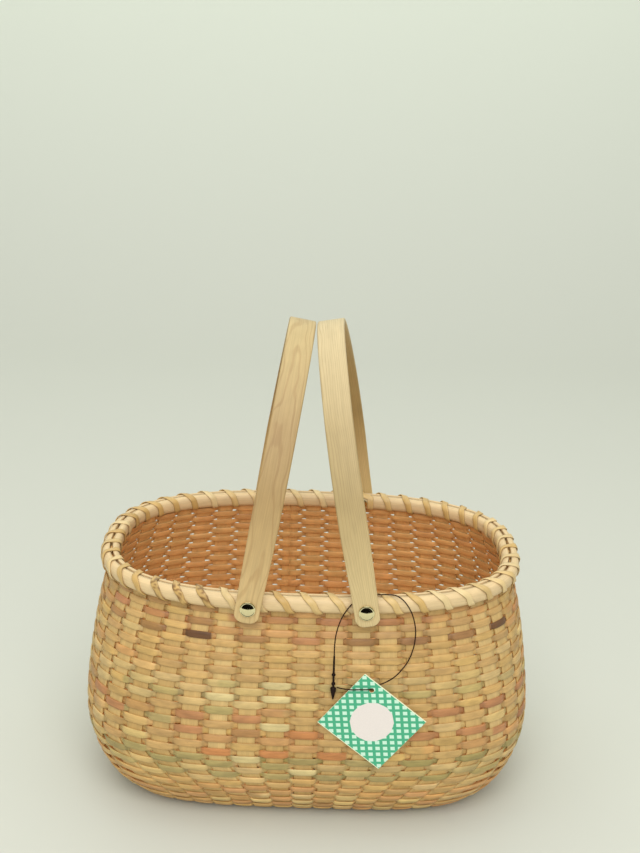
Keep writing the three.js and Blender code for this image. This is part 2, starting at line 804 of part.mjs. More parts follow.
// The cord: from the plug's stem up behind the handle, over the rim, and down behind the tag, through
// its hole to the front and back to the plug.
const cordSection = new THREE.Shape();
for (let i = 0; i < cordSides; i++) {
  const a = (2 * Math.PI * i) / cordSides;
  const point = [(cordDiameter / 2) * Math.cos(a), (cordDiameter / 2) * Math.sin(a)];
  if (i === 0) cordSection.moveTo(...point);
  else cordSection.lineTo(...point);
}
cordSection.closePath();
const cordCurve = new THREE.CatmullRomCurve3(
  cordRoute.map((p) => new THREE.Vector3(...p)),
  false,
  "centripetal",
);
const cordGeometry = new THREE.ExtrudeGeometry(cordSection, {
  steps: cordSteps,
  extrudePath: cordCurve,
});
place("tag_cord", cordGeometry, dark);

export default basket;
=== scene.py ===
import math

import bpy
import numpy as np
from mathutils import Matrix, Vector


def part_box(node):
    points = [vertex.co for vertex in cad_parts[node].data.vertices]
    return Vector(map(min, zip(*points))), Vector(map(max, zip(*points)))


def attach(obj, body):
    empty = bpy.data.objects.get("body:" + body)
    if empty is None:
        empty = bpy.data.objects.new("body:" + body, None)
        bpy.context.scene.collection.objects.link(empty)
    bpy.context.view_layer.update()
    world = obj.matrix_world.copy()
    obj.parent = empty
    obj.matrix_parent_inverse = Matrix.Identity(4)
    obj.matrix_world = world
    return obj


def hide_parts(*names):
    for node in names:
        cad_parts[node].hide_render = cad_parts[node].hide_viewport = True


bl_info = {
    "name": "Oval Woven Basket",
    "version": (1, 0, 0),
    "blender": (4, 5, 0),
    "location": "3D View > Sidebar > Basket",
    "description": "Weaves a small oval rattan basket with two bent-wood handles over its packed frame",
    "category": "Add Mesh",
}

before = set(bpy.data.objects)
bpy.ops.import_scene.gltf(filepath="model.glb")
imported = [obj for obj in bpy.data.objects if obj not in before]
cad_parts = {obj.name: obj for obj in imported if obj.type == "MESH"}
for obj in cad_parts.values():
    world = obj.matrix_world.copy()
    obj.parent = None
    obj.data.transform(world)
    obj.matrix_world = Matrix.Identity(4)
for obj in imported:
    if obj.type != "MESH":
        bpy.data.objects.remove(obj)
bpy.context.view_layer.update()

MM = 0.001
rng = np.random.default_rng(26)


# ---------------------------------------------------------------- the basket's outline, in millimetres

RIM_LENGTH, RIM_WIDTH, RIM_TOP = (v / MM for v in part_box("outer_hoop")[1])  # half length, half width, top
HOOP_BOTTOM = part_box("outer_hoop")[0][2] / MM
WEAVE_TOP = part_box("weave_shell")[1][2] / MM
HOOP_MIDDLE, HOOP_HALF = (RIM_TOP + HOOP_BOTTOM) / 2, (RIM_TOP - HOOP_BOTTOM) / 2
OUTER_HOOP, HOOP_SLIT, INNER_HOOP = 4.4, 1.7, 3.9  # thicknesses; the slit holds the stakes
RIM_THICKNESS = OUTER_HOOP + HOOP_SLIT + INNER_HOOP
STAKE_TOP = RIM_TOP - 2
RIM_SQUARENESS, FOOT_SQUARENESS = 2.62, 3.75  # an ellipse has 2
NECK_OUTSET, BELLY_OUTSET, FOOT_OUTSET = -2.8, 8.8, -20.0  # out from the rim's outer edge
BELLY_HEIGHT, HEEL_ROUNDNESS, SHOULDER_FALL = 52.0, 1.6, 1.71
FOOT_RING = 6.0  # width of the flat ring that the basket stands on
CROSS_STAKES, LONG_STAKES = 15, 9
CROSS_SPACING, LONG_SPACING = 11.3, 11.4
STAKES = 2 * (CROSS_STAKES + LONG_STAKES)
FRONT_SLOT, REAR_SLOT, LEFT_SLOT = STAKES * 3 // 4, STAKES // 4, STAKES // 2
CROWDING = 0.07  # how much the stakes gather at the rounded ends
HOOP_POINTS, WALL_POINTS, RING_POINTS = 40, 2600, 60  # of the wall's profile before it is evened out
PROFILE_STEP, SMOOTHING, LEVEL_STEP = 0.25, 9, 1.5


def ease(share, size=1.0):
    """A smooth rise from nothing to the size, while the share goes from 0 to 1."""
    return size * share * share * (3 - 2 * share)


def oval(outset, squareness, angle):
    """Points and outward directions of an oval, which is the rim's outer edge moved out by the outset."""
    a, b = RIM_LENGTH + outset, RIM_WIDTH + outset
    c, s = np.cos(angle), np.sin(angle)
    radius = (np.abs(c) ** squareness + np.abs(s) ** squareness) ** (-1 / squareness)
    x, y = a * radius * c, b * radius * s
    nx = np.sign(x) * np.abs(x / a) ** (squareness - 1) / a
    ny = np.sign(y) * np.abs(y / b) ** (squareness - 1) / b
    size = np.hypot(nx, ny)
    return x, y, nx / size, ny / size


def wall_profile():
    """The wall seen from the side, from the top of the stakes to the inner edge of the foot: distance down
    the wall from the top of the weave, outset, height, and the direction out of the wall."""
    above = np.linspace(STAKE_TOP, WEAVE_TOP, HOOP_POINTS)[:-1]
    heights = np.concatenate([above, np.linspace(WEAVE_TOP, 0, WALL_POINTS)])
    heel = 1 - (1 - np.clip(heights / BELLY_HEIGHT, 0, 1)) ** HEEL_ROUNDNESS
    low = FOOT_OUTSET + (BELLY_OUTSET - FOOT_OUTSET) * heel ** (1 / HEEL_ROUNDNESS)
    share = np.clip((heights - BELLY_HEIGHT) / (WEAVE_TOP - BELLY_HEIGHT), 0, 1)
    high = BELLY_OUTSET - (BELLY_OUTSET - NECK_OUTSET) * share**SHOULDER_FALL
    outsets = np.where(heights < BELLY_HEIGHT, low, high)
    wall_points = len(heights)
    ring = np.linspace(0, -2 * FOOT_RING, RING_POINTS)[1:]
    heights = np.concatenate([heights, np.zeros(len(ring))])
    outsets = np.concatenate([outsets, FOOT_OUTSET + ring])
    arc = np.concatenate([[0], np.cumsum(np.hypot(np.diff(heights), np.diff(outsets)))])
    arc -= np.interp(0, WEAVE_TOP - heights[:wall_points], arc[:wall_points])
    # even steps, so that the directions come out smooth
    even = np.arange(arc[0], arc[-1], PROFILE_STEP)
    heights, outsets = np.interp(even, arc, heights), np.interp(even, arc, outsets)
    soft, margin = np.ones(SMOOTHING) / SMOOTHING, SMOOTHING // 2
    rise, spread = (
        np.convolve(np.pad(-np.gradient(v, even), margin, mode="edge"), soft, "valid")
        for v in (heights, outsets)
    )
    size = np.hypot(rise, spread)
    return even, outsets, heights, rise / size, -spread / size


ARC, OUTSET, HEIGHT, OUT, UP = wall_profile()
FOOT_ARC = float(ARC[np.argmax(HEIGHT <= 1e-6)])


def squareness_at(height):
    return FOOT_SQUARENESS + (RIM_SQUARENESS - FOOT_SQUARENESS) * np.clip(height / WEAVE_TOP, 0, 1)


def wall(angle, arc, depth):
    """A point of the wall, at an angle round the basket, a distance down the wall and a depth below its
    outer face."""
    height = np.interp(arc, ARC, HEIGHT)
    out, up = np.interp(arc, ARC, OUT), np.interp(arc, ARC, UP)
    x, y, nx, ny = oval(np.interp(arc, ARC, OUTSET), squareness_at(height), angle)
    return np.stack([x - nx * depth * out, y - ny * depth * out, height - depth * up], -1)


def rim(angle, depth, height):
    """A point of the rim, at a depth below its outer edge."""
    x, y, nx, ny = oval(0, RIM_SQUARENESS, angle)
    return np.stack([x - nx * depth, y - ny * depth, height + 0 * angle], -1)


def even_places():
    """The angle of each stake between the hoops, with a few more at both ends of the round."""
    angle = np.linspace(0, 2 * np.pi, 7201)
    x, y, nx, ny = oval(-OUTER_HOOP - HOOP_SLIT / 2, RIM_SQUARENESS, angle)
    length = np.hypot(np.diff(x), np.diff(y))
    turn = np.hypot(np.diff(nx), np.diff(ny)) / (2 * np.pi)
    weight = np.concatenate([[0], np.cumsum((1 - CROWDING) * length / length.sum() + CROWDING * turn)])
    slots = np.arange(-2, STAKES + 3)
    turns = np.floor(slots / STAKES)
    share = slots / STAKES - turns
    return slots, np.interp(share * weight[-1], weight, angle) + 2 * np.pi * turns


SLOTS, EVEN = even_places()


def slot_angle(slot):
    """The angle between the hoops for a place counted in stakes from +X towards +Y."""
    slot = np.asarray(slot, float)
    turns = np.floor(slot / STAKES)
    return np.interp(slot - turns * STAKES, SLOTS, EVEN) + 2 * np.pi * turns


def straight_angles(height, outset):
    """Where the plaited strips of the base would cross one level of the wall if they ran on straight."""
    n = float(squareness_at(height))
    a, b = RIM_LENGTH + outset, RIM_WIDTH + outset
    angles = np.zeros(STAKES)
    for i in range(-(CROSS_STAKES // 2), CROSS_STAKES // 2 + 1):
        x = i * CROSS_SPACING
        y = b * (1 - abs(x / a) ** n) ** (1 / n)
        angles[FRONT_SLOT + i] = math.atan2(-y / b, x / a)
        angles[REAR_SLOT - i] = math.atan2(y / b, x / a)
    for j in range(-(LONG_STAKES // 2), LONG_STAKES // 2 + 1):
        y = j * LONG_SPACING
        x = a * (1 - abs(y / b) ** n) ** (1 / n)
        angles[j % STAKES] = math.atan2(y / b, x / a)
        angles[LEFT_SLOT - j] = math.atan2(y / b, -x / a)
    return angles


def near(angle, other):
    return angle + 2 * np.pi * np.round((other - angle) / (2 * np.pi))


def stake_angles(arc):
    """The angles of all the stakes at one level of the wall."""
    height, outset = (float(np.interp(arc, ARC, values)) for values in (HEIGHT, OUTSET))
    even = slot_angle(np.arange(STAKES))
    x, y, nx, ny = oval(0, RIM_SQUARENESS, even)
    below = np.arctan2((y + ny * outset) / (RIM_WIDTH + outset), (x + nx * outset) / (RIM_LENGTH + outset))
    high = np.clip((height - BELLY_HEIGHT) / (WEAVE_TOP - BELLY_HEIGHT), 0, 1)
    drawn = even + (near(below, even) - even) * high
    straight = near(straight_angles(height, outset), even)
    return straight + (drawn - straight) * ease(min(1.0, height / BELLY_HEIGHT))


LEVELS = np.concatenate([np.arange(ARC[0], FOOT_ARC, LEVEL_STEP), [FOOT_ARC, ARC[-1]]])
STAKE_TABLE = np.array([stake_angles(min(level, FOOT_ARC)) for level in LEVELS])


def place_angle(slot, arc):
    """The angle round the wall for a place counted in stakes, at a distance down the wall."""
    slot = np.asarray(slot, float)
    arc = np.broadcast_to(np.asarray(arc, float), slot.shape)
    row = np.clip(np.interp(arc, LEVELS, np.arange(len(LEVELS))), 0, len(LEVELS) - 1.001)
    lower, below = row.astype(int), np.floor(slot)
    share = slot - below
    total = np.zeros(slot.shape)
    for r, weight_r in ((lower, 1 - (row - lower)), (lower + 1, row - lower)):
        for k, weight_k in ((below, 1 - share), (below + 1, share)):
            turns = np.floor(k / STAKES)
            angle = STAKE_TABLE[r, (k - turns * STAKES).astype(int)] + 2 * np.pi * turns
            total += weight_r * weight_k * angle
    return total


# ---------------------------------------------------------------- meshes


def make_piece(
    name, points, faces, material, nodes=(), body="basket", strip=None, tint=None, smooth=True
):
    """A mesh object from points in millimetres, in place of the given nodes of the frame. Each point may
    have its place in the strip's pattern and its tint."""
    mesh = bpy.data.meshes.new(name)
    points = np.asarray(points).reshape(-1, 3) * MM
    mesh.from_pydata(points.tolist(), [], [tuple(int(i) for i in f) for f in faces])
    for key, kind, field, values in (
        ("strip", "FLOAT_VECTOR", "vector", strip),
        ("tint", "FLOAT_COLOR", "color", tint),
    ):
        if values is not None:
            layer = mesh.attributes.new(key, kind, "POINT")
            layer.data.foreach_set(field, np.asarray(values, dtype=np.float32).ravel())
    mesh.polygons.foreach_set("use_smooth", [smooth] * len(mesh.polygons))
    mesh.update()
    mesh.materials.append(material)
    piece = bpy.data.objects.new(name, mesh)
    bpy.context.scene.collection.objects.link(piece)
    if body:
        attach(piece, body)
    if nodes:
        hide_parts(*nodes)
    return piece


def tube_faces(rows, sides, closed=False, first=0):
    """Faces of a tube whose rings of points come one after another. Open ends are covered."""
    i, j = np.meshgrid(np.arange(rows if closed else rows - 1), np.arange(sides), indexing="ij")
    here, over = first + i * sides, first + ((i + 1) % rows) * sides
    k = (j + 1) % sides
    faces = np.stack([here + j, over + j, over + k, here + k], -1).reshape(-1, 4).tolist()
    if not closed:
        faces.append([first + n for n in range(sides)])
        faces.append([first + (rows - 1) * sides + n for n in reversed(range(sides))])
    return faces


def make_strips(name, strips, material, nodes):
    """One piece from several strips, each given as rings of points, their places in the pattern and tints."""
    faces, first = [], 0
    for rings, _, _ in strips:
        faces += tube_faces(len(rings), rings.shape[1], first=first)
        first += len(rings) * rings.shape[1]
    points, places, tints = (np.vstack([v.reshape(-1, v.shape[-1]) for v in part]) for part in zip(*strips))
    make_piece(name, points, faces, material, nodes, strip=places, tint=tints)


def sweep(centre, across, out, section):
    """Rings of points along a strip. A section is a list of (across, out) for each ring."""
    wide, deep = section[..., 0:1], section[..., 1:2]
    return centre[:, None, :] + across[:, None, :] * wide + out[:, None, :] * deep


def unit(vectors):
    return vectors / np.maximum(np.linalg.norm(vectors, axis=-1, keepdims=True), 1e-9)


def upright(vectors, tangent):
    """The vectors without their part along the tangent, as directions."""
    return unit(vectors - tangent * (vectors * tangent).sum(-1, keepdims=True))


def strip_frame(centre, outward):
    """The directions across a strip and out of it, from its middle line and a rough outward direction."""
    tangent = unit(np.gradient(centre, axis=0))
    out = upright(outward, tangent)
    return np.cross(out, tangent), out


def lengths(centre):
    return np.concatenate([[0], np.cumsum(np.linalg.norm(np.diff(centre, axis=0), axis=1))])


def strip_places(centre, across, number):
    """Places in a strip's pattern: along its middle line, across it, and the strip's own number."""
    return np.stack(np.broadcast_arrays(lengths(centre)[:, None], across, number), -1)


def lathe(outline, sides):
    """A turned form from (radius, height) pairs, round the Z axis."""
    turns = 2 * np.pi * np.arange(sides) / sides
    points, faces, rows = [], [], []
    for radius, height in outline:
        if radius < 1e-6:
            rows.append([len(points)])
            points.append((0.0, 0.0, height))
        else:
            rows.append(list(range(len(points), len(points) + sides)))
            points += [(radius * math.cos(t), radius * math.sin(t), height) for t in turns]
    for lower, upper in zip(rows, rows[1:]):
        for j in range(sides):
            k = (j + 1) % sides
            if len(lower) == 1:
                faces.append((lower[0], upper[k], upper[j]))
            elif len(upper) == 1:
                faces.append((lower[j], lower[k], upper[0]))
            else:
                faces.append((lower[j], lower[k], upper[k], upper[j]))
    return np.array(points), faces


# ---------------------------------------------------------------- materials


def linear(hex_colour):
    """An sRGB hex colour as linear red, green and blue."""
    parts = [int(hex_colour[i : i + 2], 16) / 255 for i in (1, 3, 5)]
    return tuple(c / 12.92 if c <= 0.04045 else ((c + 0.055) / 1.055) ** 2.4 for c in parts)


def opaque(hex_colour):
    return (*linear(hex_colour), 1)


def set_inputs(tree, node, inputs):
    """Sets or links a node's inputs, given by their names or numbers, or as a list in their order."""
    for key, value in inputs.items() if isinstance(inputs, dict) else enumerate(inputs):
        if isinstance(value, bpy.types.NodeSocket):
            tree.links.new(value, node.inputs[key])
        else:
            node.inputs[key].default_value = value


def add_node(tree, kind, inputs=(), out=0, **settings):
    """Adds one shader node with its settings and links, and gives one of its outputs."""
    made = tree.nodes.new("ShaderNode" + kind)
    for key, value in settings.items():
        setattr(made, key, value)
    set_inputs(tree, made, inputs)
    return made.outputs[out]


def new_material(name):
    """An empty material, its node tree and its shader."""
    material = bpy.data.materials.new(name)
    material.use_nodes = True
    return material, material.node_tree, material.node_tree.nodes["Principled BSDF"]


NOISE_LOW, NOISE_HIGH = 0.25, 0.75  # noise seldom leaves this range
# How finely the patches, specks and slow drift of the growth rings lie, their detail and its fineness.
PATTERNS = ((0.11, 0.32, 3.1), 4.0, 0.5), ((0.9, 1.5, 11.0), 2.0, 0.5), ((0.028, 0.09, 1.7), 1.5, 0.5)
LATE_WOOD = "#b98f5e"
SPECK_BROWN = "#6b4526"


def fibre_material(
    name, fibre, run, contrast, blotch, speck, roughness, relief=0.05, bands=0.0, colour=None
):
    """Split cane or wood whose fibres run along the strip. The pattern is laid out by the strip attribute,
    in millimetres: along the strip, across it, and a number for the strip. fibre is the width of one fibre
    and run its length. Without a colour each strip takes its own from the tint attribute."""
    material, tree, shader = new_material(name)
    place = add_node(tree, "Attribute", out="Vector", attribute_name="strip")
    if colour is None:
        base = add_node(tree, "Attribute", out="Color", attribute_name="tint")
    else:
        base = add_node(tree, "RGB")
        base.default_value = opaque(colour)
    noises = []
    for scale, detail, fineness in (((1 / run, 1 / fibre, 7.3), 3.0, 0.6), *PATTERNS[: 3 if bands else 2]):
        at = add_node(tree, "VectorMath", [place, scale], operation="MULTIPLY")
        noise = {"Vector": at, "Scale": 1.0, "Detail": detail, "Roughness": fineness}
        noises.append(add_node(tree, "TexNoise", noise, "Fac"))
    fibres, patches, specks = noises[:3]
    streaks = [fibres, NOISE_LOW, NOISE_HIGH, 1 - contrast, 1 + contrast * 0.5]
    streaks = add_node(tree, "MapRange", streaks)
    blotches = add_node(tree, "MapRange", [patches, 0.3, 0.7, 1 - blotch, 1 + blotch * 0.6])
    shade = add_node(tree, "Math", [streaks, blotches], operation="MULTIPLY")
    if bands:
        # growth rings cut at a slant: long arches down the middle of the strip, where the late wood is a
        # thin dark line and the early wood a broad pale one
        along, across, _ = add_node(tree, "SeparateXYZ", [place]).node.outputs
        arch = add_node(tree, "Math", [across, 2.0], operation="POWER")
        arch = add_node(tree, "Math", [arch, 0.16], operation="MULTIPLY")
        ring = add_node(tree, "Math", [along, 0.11, arch], operation="MULTIPLY_ADD")
        ring = add_node(tree, "Math", [noises[3], 22.0, ring], operation="MULTIPLY_ADD")
        wave = add_node(tree, "Math", [ring], operation="SINE")
        late = [wave, 0.5, 1.0, 0.0, bands]
        late = add_node(tree, "MapRange", late, interpolation_type="SMOOTHSTEP")
        dyed = {0: late, 6: base, 7: opaque(LATE_WOOD)}
        base = add_node(tree, "Mix", dyed, 2, data_type="RGBA", blend_type="MULTIPLY")
    shaded = add_node(tree, "VectorMath", {0: base, "Scale": shade}, operation="SCALE")
    share = add_node(tree, "MapRange", [specks, 0.7, 0.8, 0.0, speck])
    coloured = add_node(tree, "Mix", {0: share, 6: shaded, 7: opaque(SPECK_BROWN)}, 2, data_type="RGBA")
    rough = [fibres, NOISE_LOW, NOISE_HIGH, roughness + 0.1, roughness - 0.06]
    rough = add_node(tree, "MapRange", rough)
    bump = add_node(tree, "Bump", {"Strength": 0.6, "Distance": relief * MM, "Height": fibres})
    set_inputs(tree, shader, {"Base Color": coloured, "Roughness": rough, "Normal": bump})
    return material


# ---------------------------------------------------------------- sizes and colours a user would change


def length_prop(name, description, default):
    return bpy.props.FloatProperty(
        name=name, description=description, default=default, min=0.0, unit="LENGTH", precision=5
    )


def colour_prop(name, description, default):
    return bpy.props.FloatVectorProperty(
        name=name, description=description, default=linear(default), subtype="COLOR", size=3, min=0, max=1
    )


class BasketSizes(bpy.types.PropertyGroup):
    weaver_thickness: length_prop("Weaver thickness", "Thickness of one weaver of the wall", 0.0008)
    weaver_crown: length_prop("Weaver crown", "How far a weaver's face bulges", 0.00012)
    weaver_lift: length_prop("Weaver lift", "How far a weaver stands off the middle of the wall", 0.00102)
    stake_width: length_prop("Stake width", "Width of one stake", 0.0098)
    stake_thickness: length_prop("Stake thickness", "Thickness of one stake", 0.0008)
    lash_width: length_prop("Lashing width", "Width of the flat cane wound round the rim", 0.0039)
    lash_thickness: length_prop("Lashing thickness", "Thickness of that cane", 0.0006)
    handle_edge: length_prop("Handle edge", "Radius of the handles' rounded edges", 0.0009)


class BasketColours(bpy.types.PropertyGroup):
    floor: colour_prop("Floor", "Pale floor and backdrop", "#cbcdc4")
    lattice: colour_prop("Lattice", "Printed lattice of the tag", "#45ad83")
    card: colour_prop("Card", "Light squares of the tag's print", "#c9eed8")


# ---------------------------------------------------------------- the camera and the stage

FRAME_HEIGHT, FOCAL_LENGTH = 853, 1309.917  # both in pixels
CAMERA_AT = (0.009561, -0.713029, 0.446377)
CAMERA_RIGHT = Vector((0.99950422, 0.01735926, 0.02626733))
CAMERA_UP = Vector((-0.03038211, 0.3128721, 0.94930921))


class BASKET_OT_camera(bpy.types.Operator):
    """Puts the camera where the basket is seen from the front and a little above"""

    bl_idname = "basket.camera"
    bl_label = "Camera"

    def execute(self, context):
        lens = bpy.data.cameras.new("camera")
        lens.sensor_fit = "AUTO"
        lens.sensor_width = 36.0
        lens.lens = FOCAL_LENGTH / FRAME_HEIGHT * lens.sensor_width
        lens.clip_end = 20
        camera = bpy.data.objects.new("camera", lens)
        turn = Matrix((CAMERA_RIGHT, CAMERA_UP, CAMERA_RIGHT.cross(CAMERA_UP))).transposed()
        camera.matrix_world = Matrix.Translation(CAMERA_AT) @ turn.to_4x4()
        context.scene.collection.objects.link(camera)
        context.scene.camera = camera
        return {"FINISHED"}


# In metres, and watts.
LAMP_SIZE = 1.8
LAMPS = (
    ("lamp_above", (-0.1, -0.1, 1.7), 9.0, "#fffdf6"),
    ("lamp_front", (0.1, -1.5, 1.5), 27.0, "#fffefa"),
    ("lamp_rear", (-0.2, 1.5, 1.3), 4.0, "#fffefa"),
)
SKY_STRENGTH = 0.62
# The backdrop in millimetres: where it starts to bend up, the bend's radius, its front edge, top and sides.
BEND_AT, BEND, SHEET_FRONT, SHEET_TOP, SHEET_SIDE = 900.0, 900.0, -2600.0, 4200.0, 3200.0
BEND_STEPS = 24


class BASKET_OT_stage(bpy.types.Operator):
    """Lays a pale floor that curves up into a backdrop, and lights it softly from above"""

    bl_idname = "basket.stage"
    bl_label = "Stage"

    def execute(self, context):
        self.lay_backdrop(context.scene.basket_colours.floor)
        for name, at, power, colour in LAMPS:
            lamp = bpy.data.lights.new(name, "AREA")
            lamp.shape = "DISK"
            lamp.size = LAMP_SIZE
            lamp.energy = power
            lamp.color = linear(colour)
            holder = bpy.data.objects.new(name, lamp)
            holder.location = at
            aim = Vector((0, 0, 0.1)) - Vector(at)
            holder.rotation_euler = aim.to_track_quat("-Z", "Y").to_euler()
            context.scene.collection.objects.link(holder)
        self.hang_flag()
        self.make_room(context.scene)
        context.scene.view_settings.view_transform = "Standard"
        return {"FINISHED"}

    def lay_backdrop(self, floor):
        # matt paper, sprayed paler towards the edges of the sheet: no gloss, an even tone
        material, tree, shader = new_material("painted_paper_backdrop")
        place = add_node(tree, "TexCoord", out="Object")
        x, y, z = add_node(tree, "SeparateXYZ", [place]).node.outputs
        rise = add_node(tree, "MapRange", [z, 0.0, 0.8, 0.0, 1.0])
        aside = add_node(tree, "Math", [x], operation="ABSOLUTE")
        ahead = add_node(tree, "Math", [y, -1.0], operation="MULTIPLY")
        away = add_node(tree, "Math", [aside, ahead], operation="MAXIMUM")
        away = add_node(tree, "MapRange", [away, 1.0, 2.6, 0.0, 1.0])
        pale = add_node(tree, "Math", [rise, away], operation="MAXIMUM")
        mixed = add_node(tree, "Mix", {0: pale, 6: (*floor, 1), 7: opaque("#edf5e6")}, 2, data_type="RGBA")
        set_inputs(tree, shader, {"Base Color": mixed, "Roughness": 0.9, "Specular IOR Level": 0.2})
        turns = [math.pi / 2 * step / BEND_STEPS for step in range(1, BEND_STEPS + 1)]
        profile = [(SHEET_FRONT, 0.0), (BEND_AT, 0.0)]
        profile += [(BEND_AT + BEND * math.sin(a), BEND * (1 - math.cos(a))) for a in turns]
        profile.append((BEND_AT + BEND, SHEET_TOP))
        points = [(x, y, z) for y, z in profile for x in (-SHEET_SIDE, SHEET_SIDE)]
        faces = [(2 * i, 2 * i + 1, 2 * i + 3, 2 * i + 2) for i in range(len(profile) - 1)]
        make_piece("backdrop", points, faces, material, body=None)

    def hang_flag(self):
        # a dark card in front of the stage that only reflections see, which glossy surfaces such as the
        # bright rivets
        # mirror: a painted reflection. The camera, diffuse light and shadows pass through it.
        material, tree, shader = new_material("reflection_only_black_flag")
        dull = {"Base Color": opaque("#0c0b0a"), "Roughness": 1.0, "Specular IOR Level": 0.0}
        set_inputs(tree, shader, dull)
        points = [(x, y, z) for y, z in ((-470, 2), (-1000, 2), (-900, 1900)) for x in (-2500, 2500)]
        reflection_flag = make_piece("flag", points, [(0, 1, 3, 2), (2, 3, 5, 4)], material, body=None)
        reflection_flag.visible_camera = reflection_flag.visible_diffuse = reflection_flag.visible_shadow = False
        reflection_flag.visible_transmission = False

    def make_room(self, scene):
        """A soft white sky, which the camera, gloss and glass see as the backdrop's own tone."""
        world = bpy.data.worlds.new("soft_room")
        scene.world = world
        world.use_nodes = True
        tree = world.node_tree
        sky = tree.nodes["Background"]
        set_inputs(tree, sky, {"Color": opaque("#fbfcfa"), "Strength": SKY_STRENGTH})
        seen = add_node(tree, "Background", {"Color": opaque("#cdd2c5")})
        path = add_node(tree, "LightPath").node.outputs
        either = [path["Is Camera Ray"], path["Is Glossy Ray"]]
        either = [add_node(tree, "Math", either, operation="MAXIMUM"), path["Is Transmission Ray"]]
        either = add_node(tree, "Math", either, operation="MAXIMUM")
        mixed = add_node(tree, "MixShader", [either, sky.outputs[0], seen])
        set_inputs(tree, tree.nodes["World Output"], {"Surface": mixed})


# ---------------------------------------------------------------- the tag on its cord

# From the plug up to the rim, behind the right handle's foot, down again, through the tag's hole and back.
CORD_ROUTE = [
    (15.1, -88.8, 112.6), (15.1, -88.3, 117.0), (15.5, -87.1, 122.5), (16.7, -85.8, 127.7),
    (18.8, -84.3, 133.0), (21.2, -82.8, 136.5), (23.7, -82.3, 139.6), (26.6, -82.3, 142.0),
    (30.0, -81.8, 143.4), (34.0, -79.8, 143.8), (38.4, -77.8, 143.5), (43.3, -77.0, 143.3),
    (47.3, -78.0, 143.3), (51.3, -79.8, 141.2), (55.3, -81.2, 135.7), (57.7, -81.0, 128.0),
    (58.3, -80.8, 121.5), (57.6, -80.8, 114.3), (55.2, -82.0, 107.2), (51.6, -84.0, 102.4),
    (47.6, -86.0, 98.9), (42.2, -87.2, 95.9), (38.4, -88.8, 95.2), (35.9, -91.25, 94.35),
    (33.6, -92.3, 94.5), (29.4, -92.6, 94.5), (24.0, -92.4, 94.2), (19.8, -91.3, 94.1),
    (17.0, -89.85, 93.9),
]
CORD_DIAMETER, CORD_SIDES, ROUTE_STEPS = 0.68, 10, 8
TAG_LENGTH, TAG_WIDTH, TAG_THICKNESS = 44.0, 39.0, 0.5
TAG_TURN = math.radians(39.3)
TAG_CENTRE = np.array((36.5, -91.0, 74.4))  # of the back face
TAG_HOLE, HOLE_RADIUS = (-12.8, 14.35), 1.4
CARD_ROUNDING = 0.08  # of the card's outer edges
PLUG_TIP, PLUG_SIDES = np.array((15.1, -88.8, 86.0)), 28
PLUG_OUTLINE = [
    (0.0, 0.0), (0.28, 0.08), (0.45, 0.4), (1.52, 5.5), (1.6, 5.9), (1.6, 6.7), (1.5, 6.95), (0.7, 7.4),
    (0.6, 7.6), (0.6, 8.6), (0.75, 8.8), (1.05, 9.1), (1.1, 9.3), (1.1, 9.7), (1.0, 9.95), (0.7, 10.25),
    (0.6, 10.5), (0.6, 13.9), (0.75, 14.2), (1.05, 14.5), (1.1, 14.7), (1.1, 15.1), (1.0, 15.35),
    (0.7, 15.65), (0.6, 15.9), (0.56, 20.0), (0.5, 26.0), (0.45, 26.25), (0.0, 26.3),
]
# The print, in millimetres: slant and pitch of the lattice's two ways, and the printed share of a pitch.
LATTICE = ((45.5, 4.05), (131.0, 3.6))
LATTICE_SHARE = 0.42
FIELD_SIDES, FIELD_RADIUS = 14, 11.55
PRINT_HALF_WIDTH = 19.0
FIELD_WHITE, BARE_CARD = "#e6ddd8", "#eef0cf"


def smooth_route(points, steps):
    """A centripetal curve through the points, as the frame's own cord has."""
    points = np.asarray(points, float)
    padded = np.vstack([2 * points[0] - points[1], points, 2 * points[-1] - points[-2]])
    found = []
    for i in range(len(points) - 1):
        p = padded[i : i + 4]
        t = np.concatenate([[0], np.cumsum(np.linalg.norm(np.diff(p, axis=0), axis=1) ** 0.5)])
        for u in np.linspace(t[1], t[2], steps, endpoint=False):
            row = p
            for gap in (1, 2):
                row = [
                    row[k] * (t[k + gap] - u) / (t[k + gap] - t[k])
                    + row[k + 1] * (u - t[k]) / (t[k + gap] - t[k])
                    for k in range(len(row) - 1)
                ]
            found.append(row[0] * (t[2] - u) / (t[2] - t[1]) + row[1] * (u - t[1]) / (t[2] - t[1]))
    found.append(points[-1])
    return np.array(found)


def tag_to_world(along, short, deep):
    """A point of the tag, along its long and short sides from its middle, and in front of its back."""
    c, s = math.cos(TAG_TURN), math.sin(TAG_TURN)
    x, z = TAG_CENTRE[0] + along * c + short * s, TAG_CENTRE[2] - along * s + short * c
    return np.stack([x, TAG_CENTRE[1] - deep + 0 * along, z], -1)


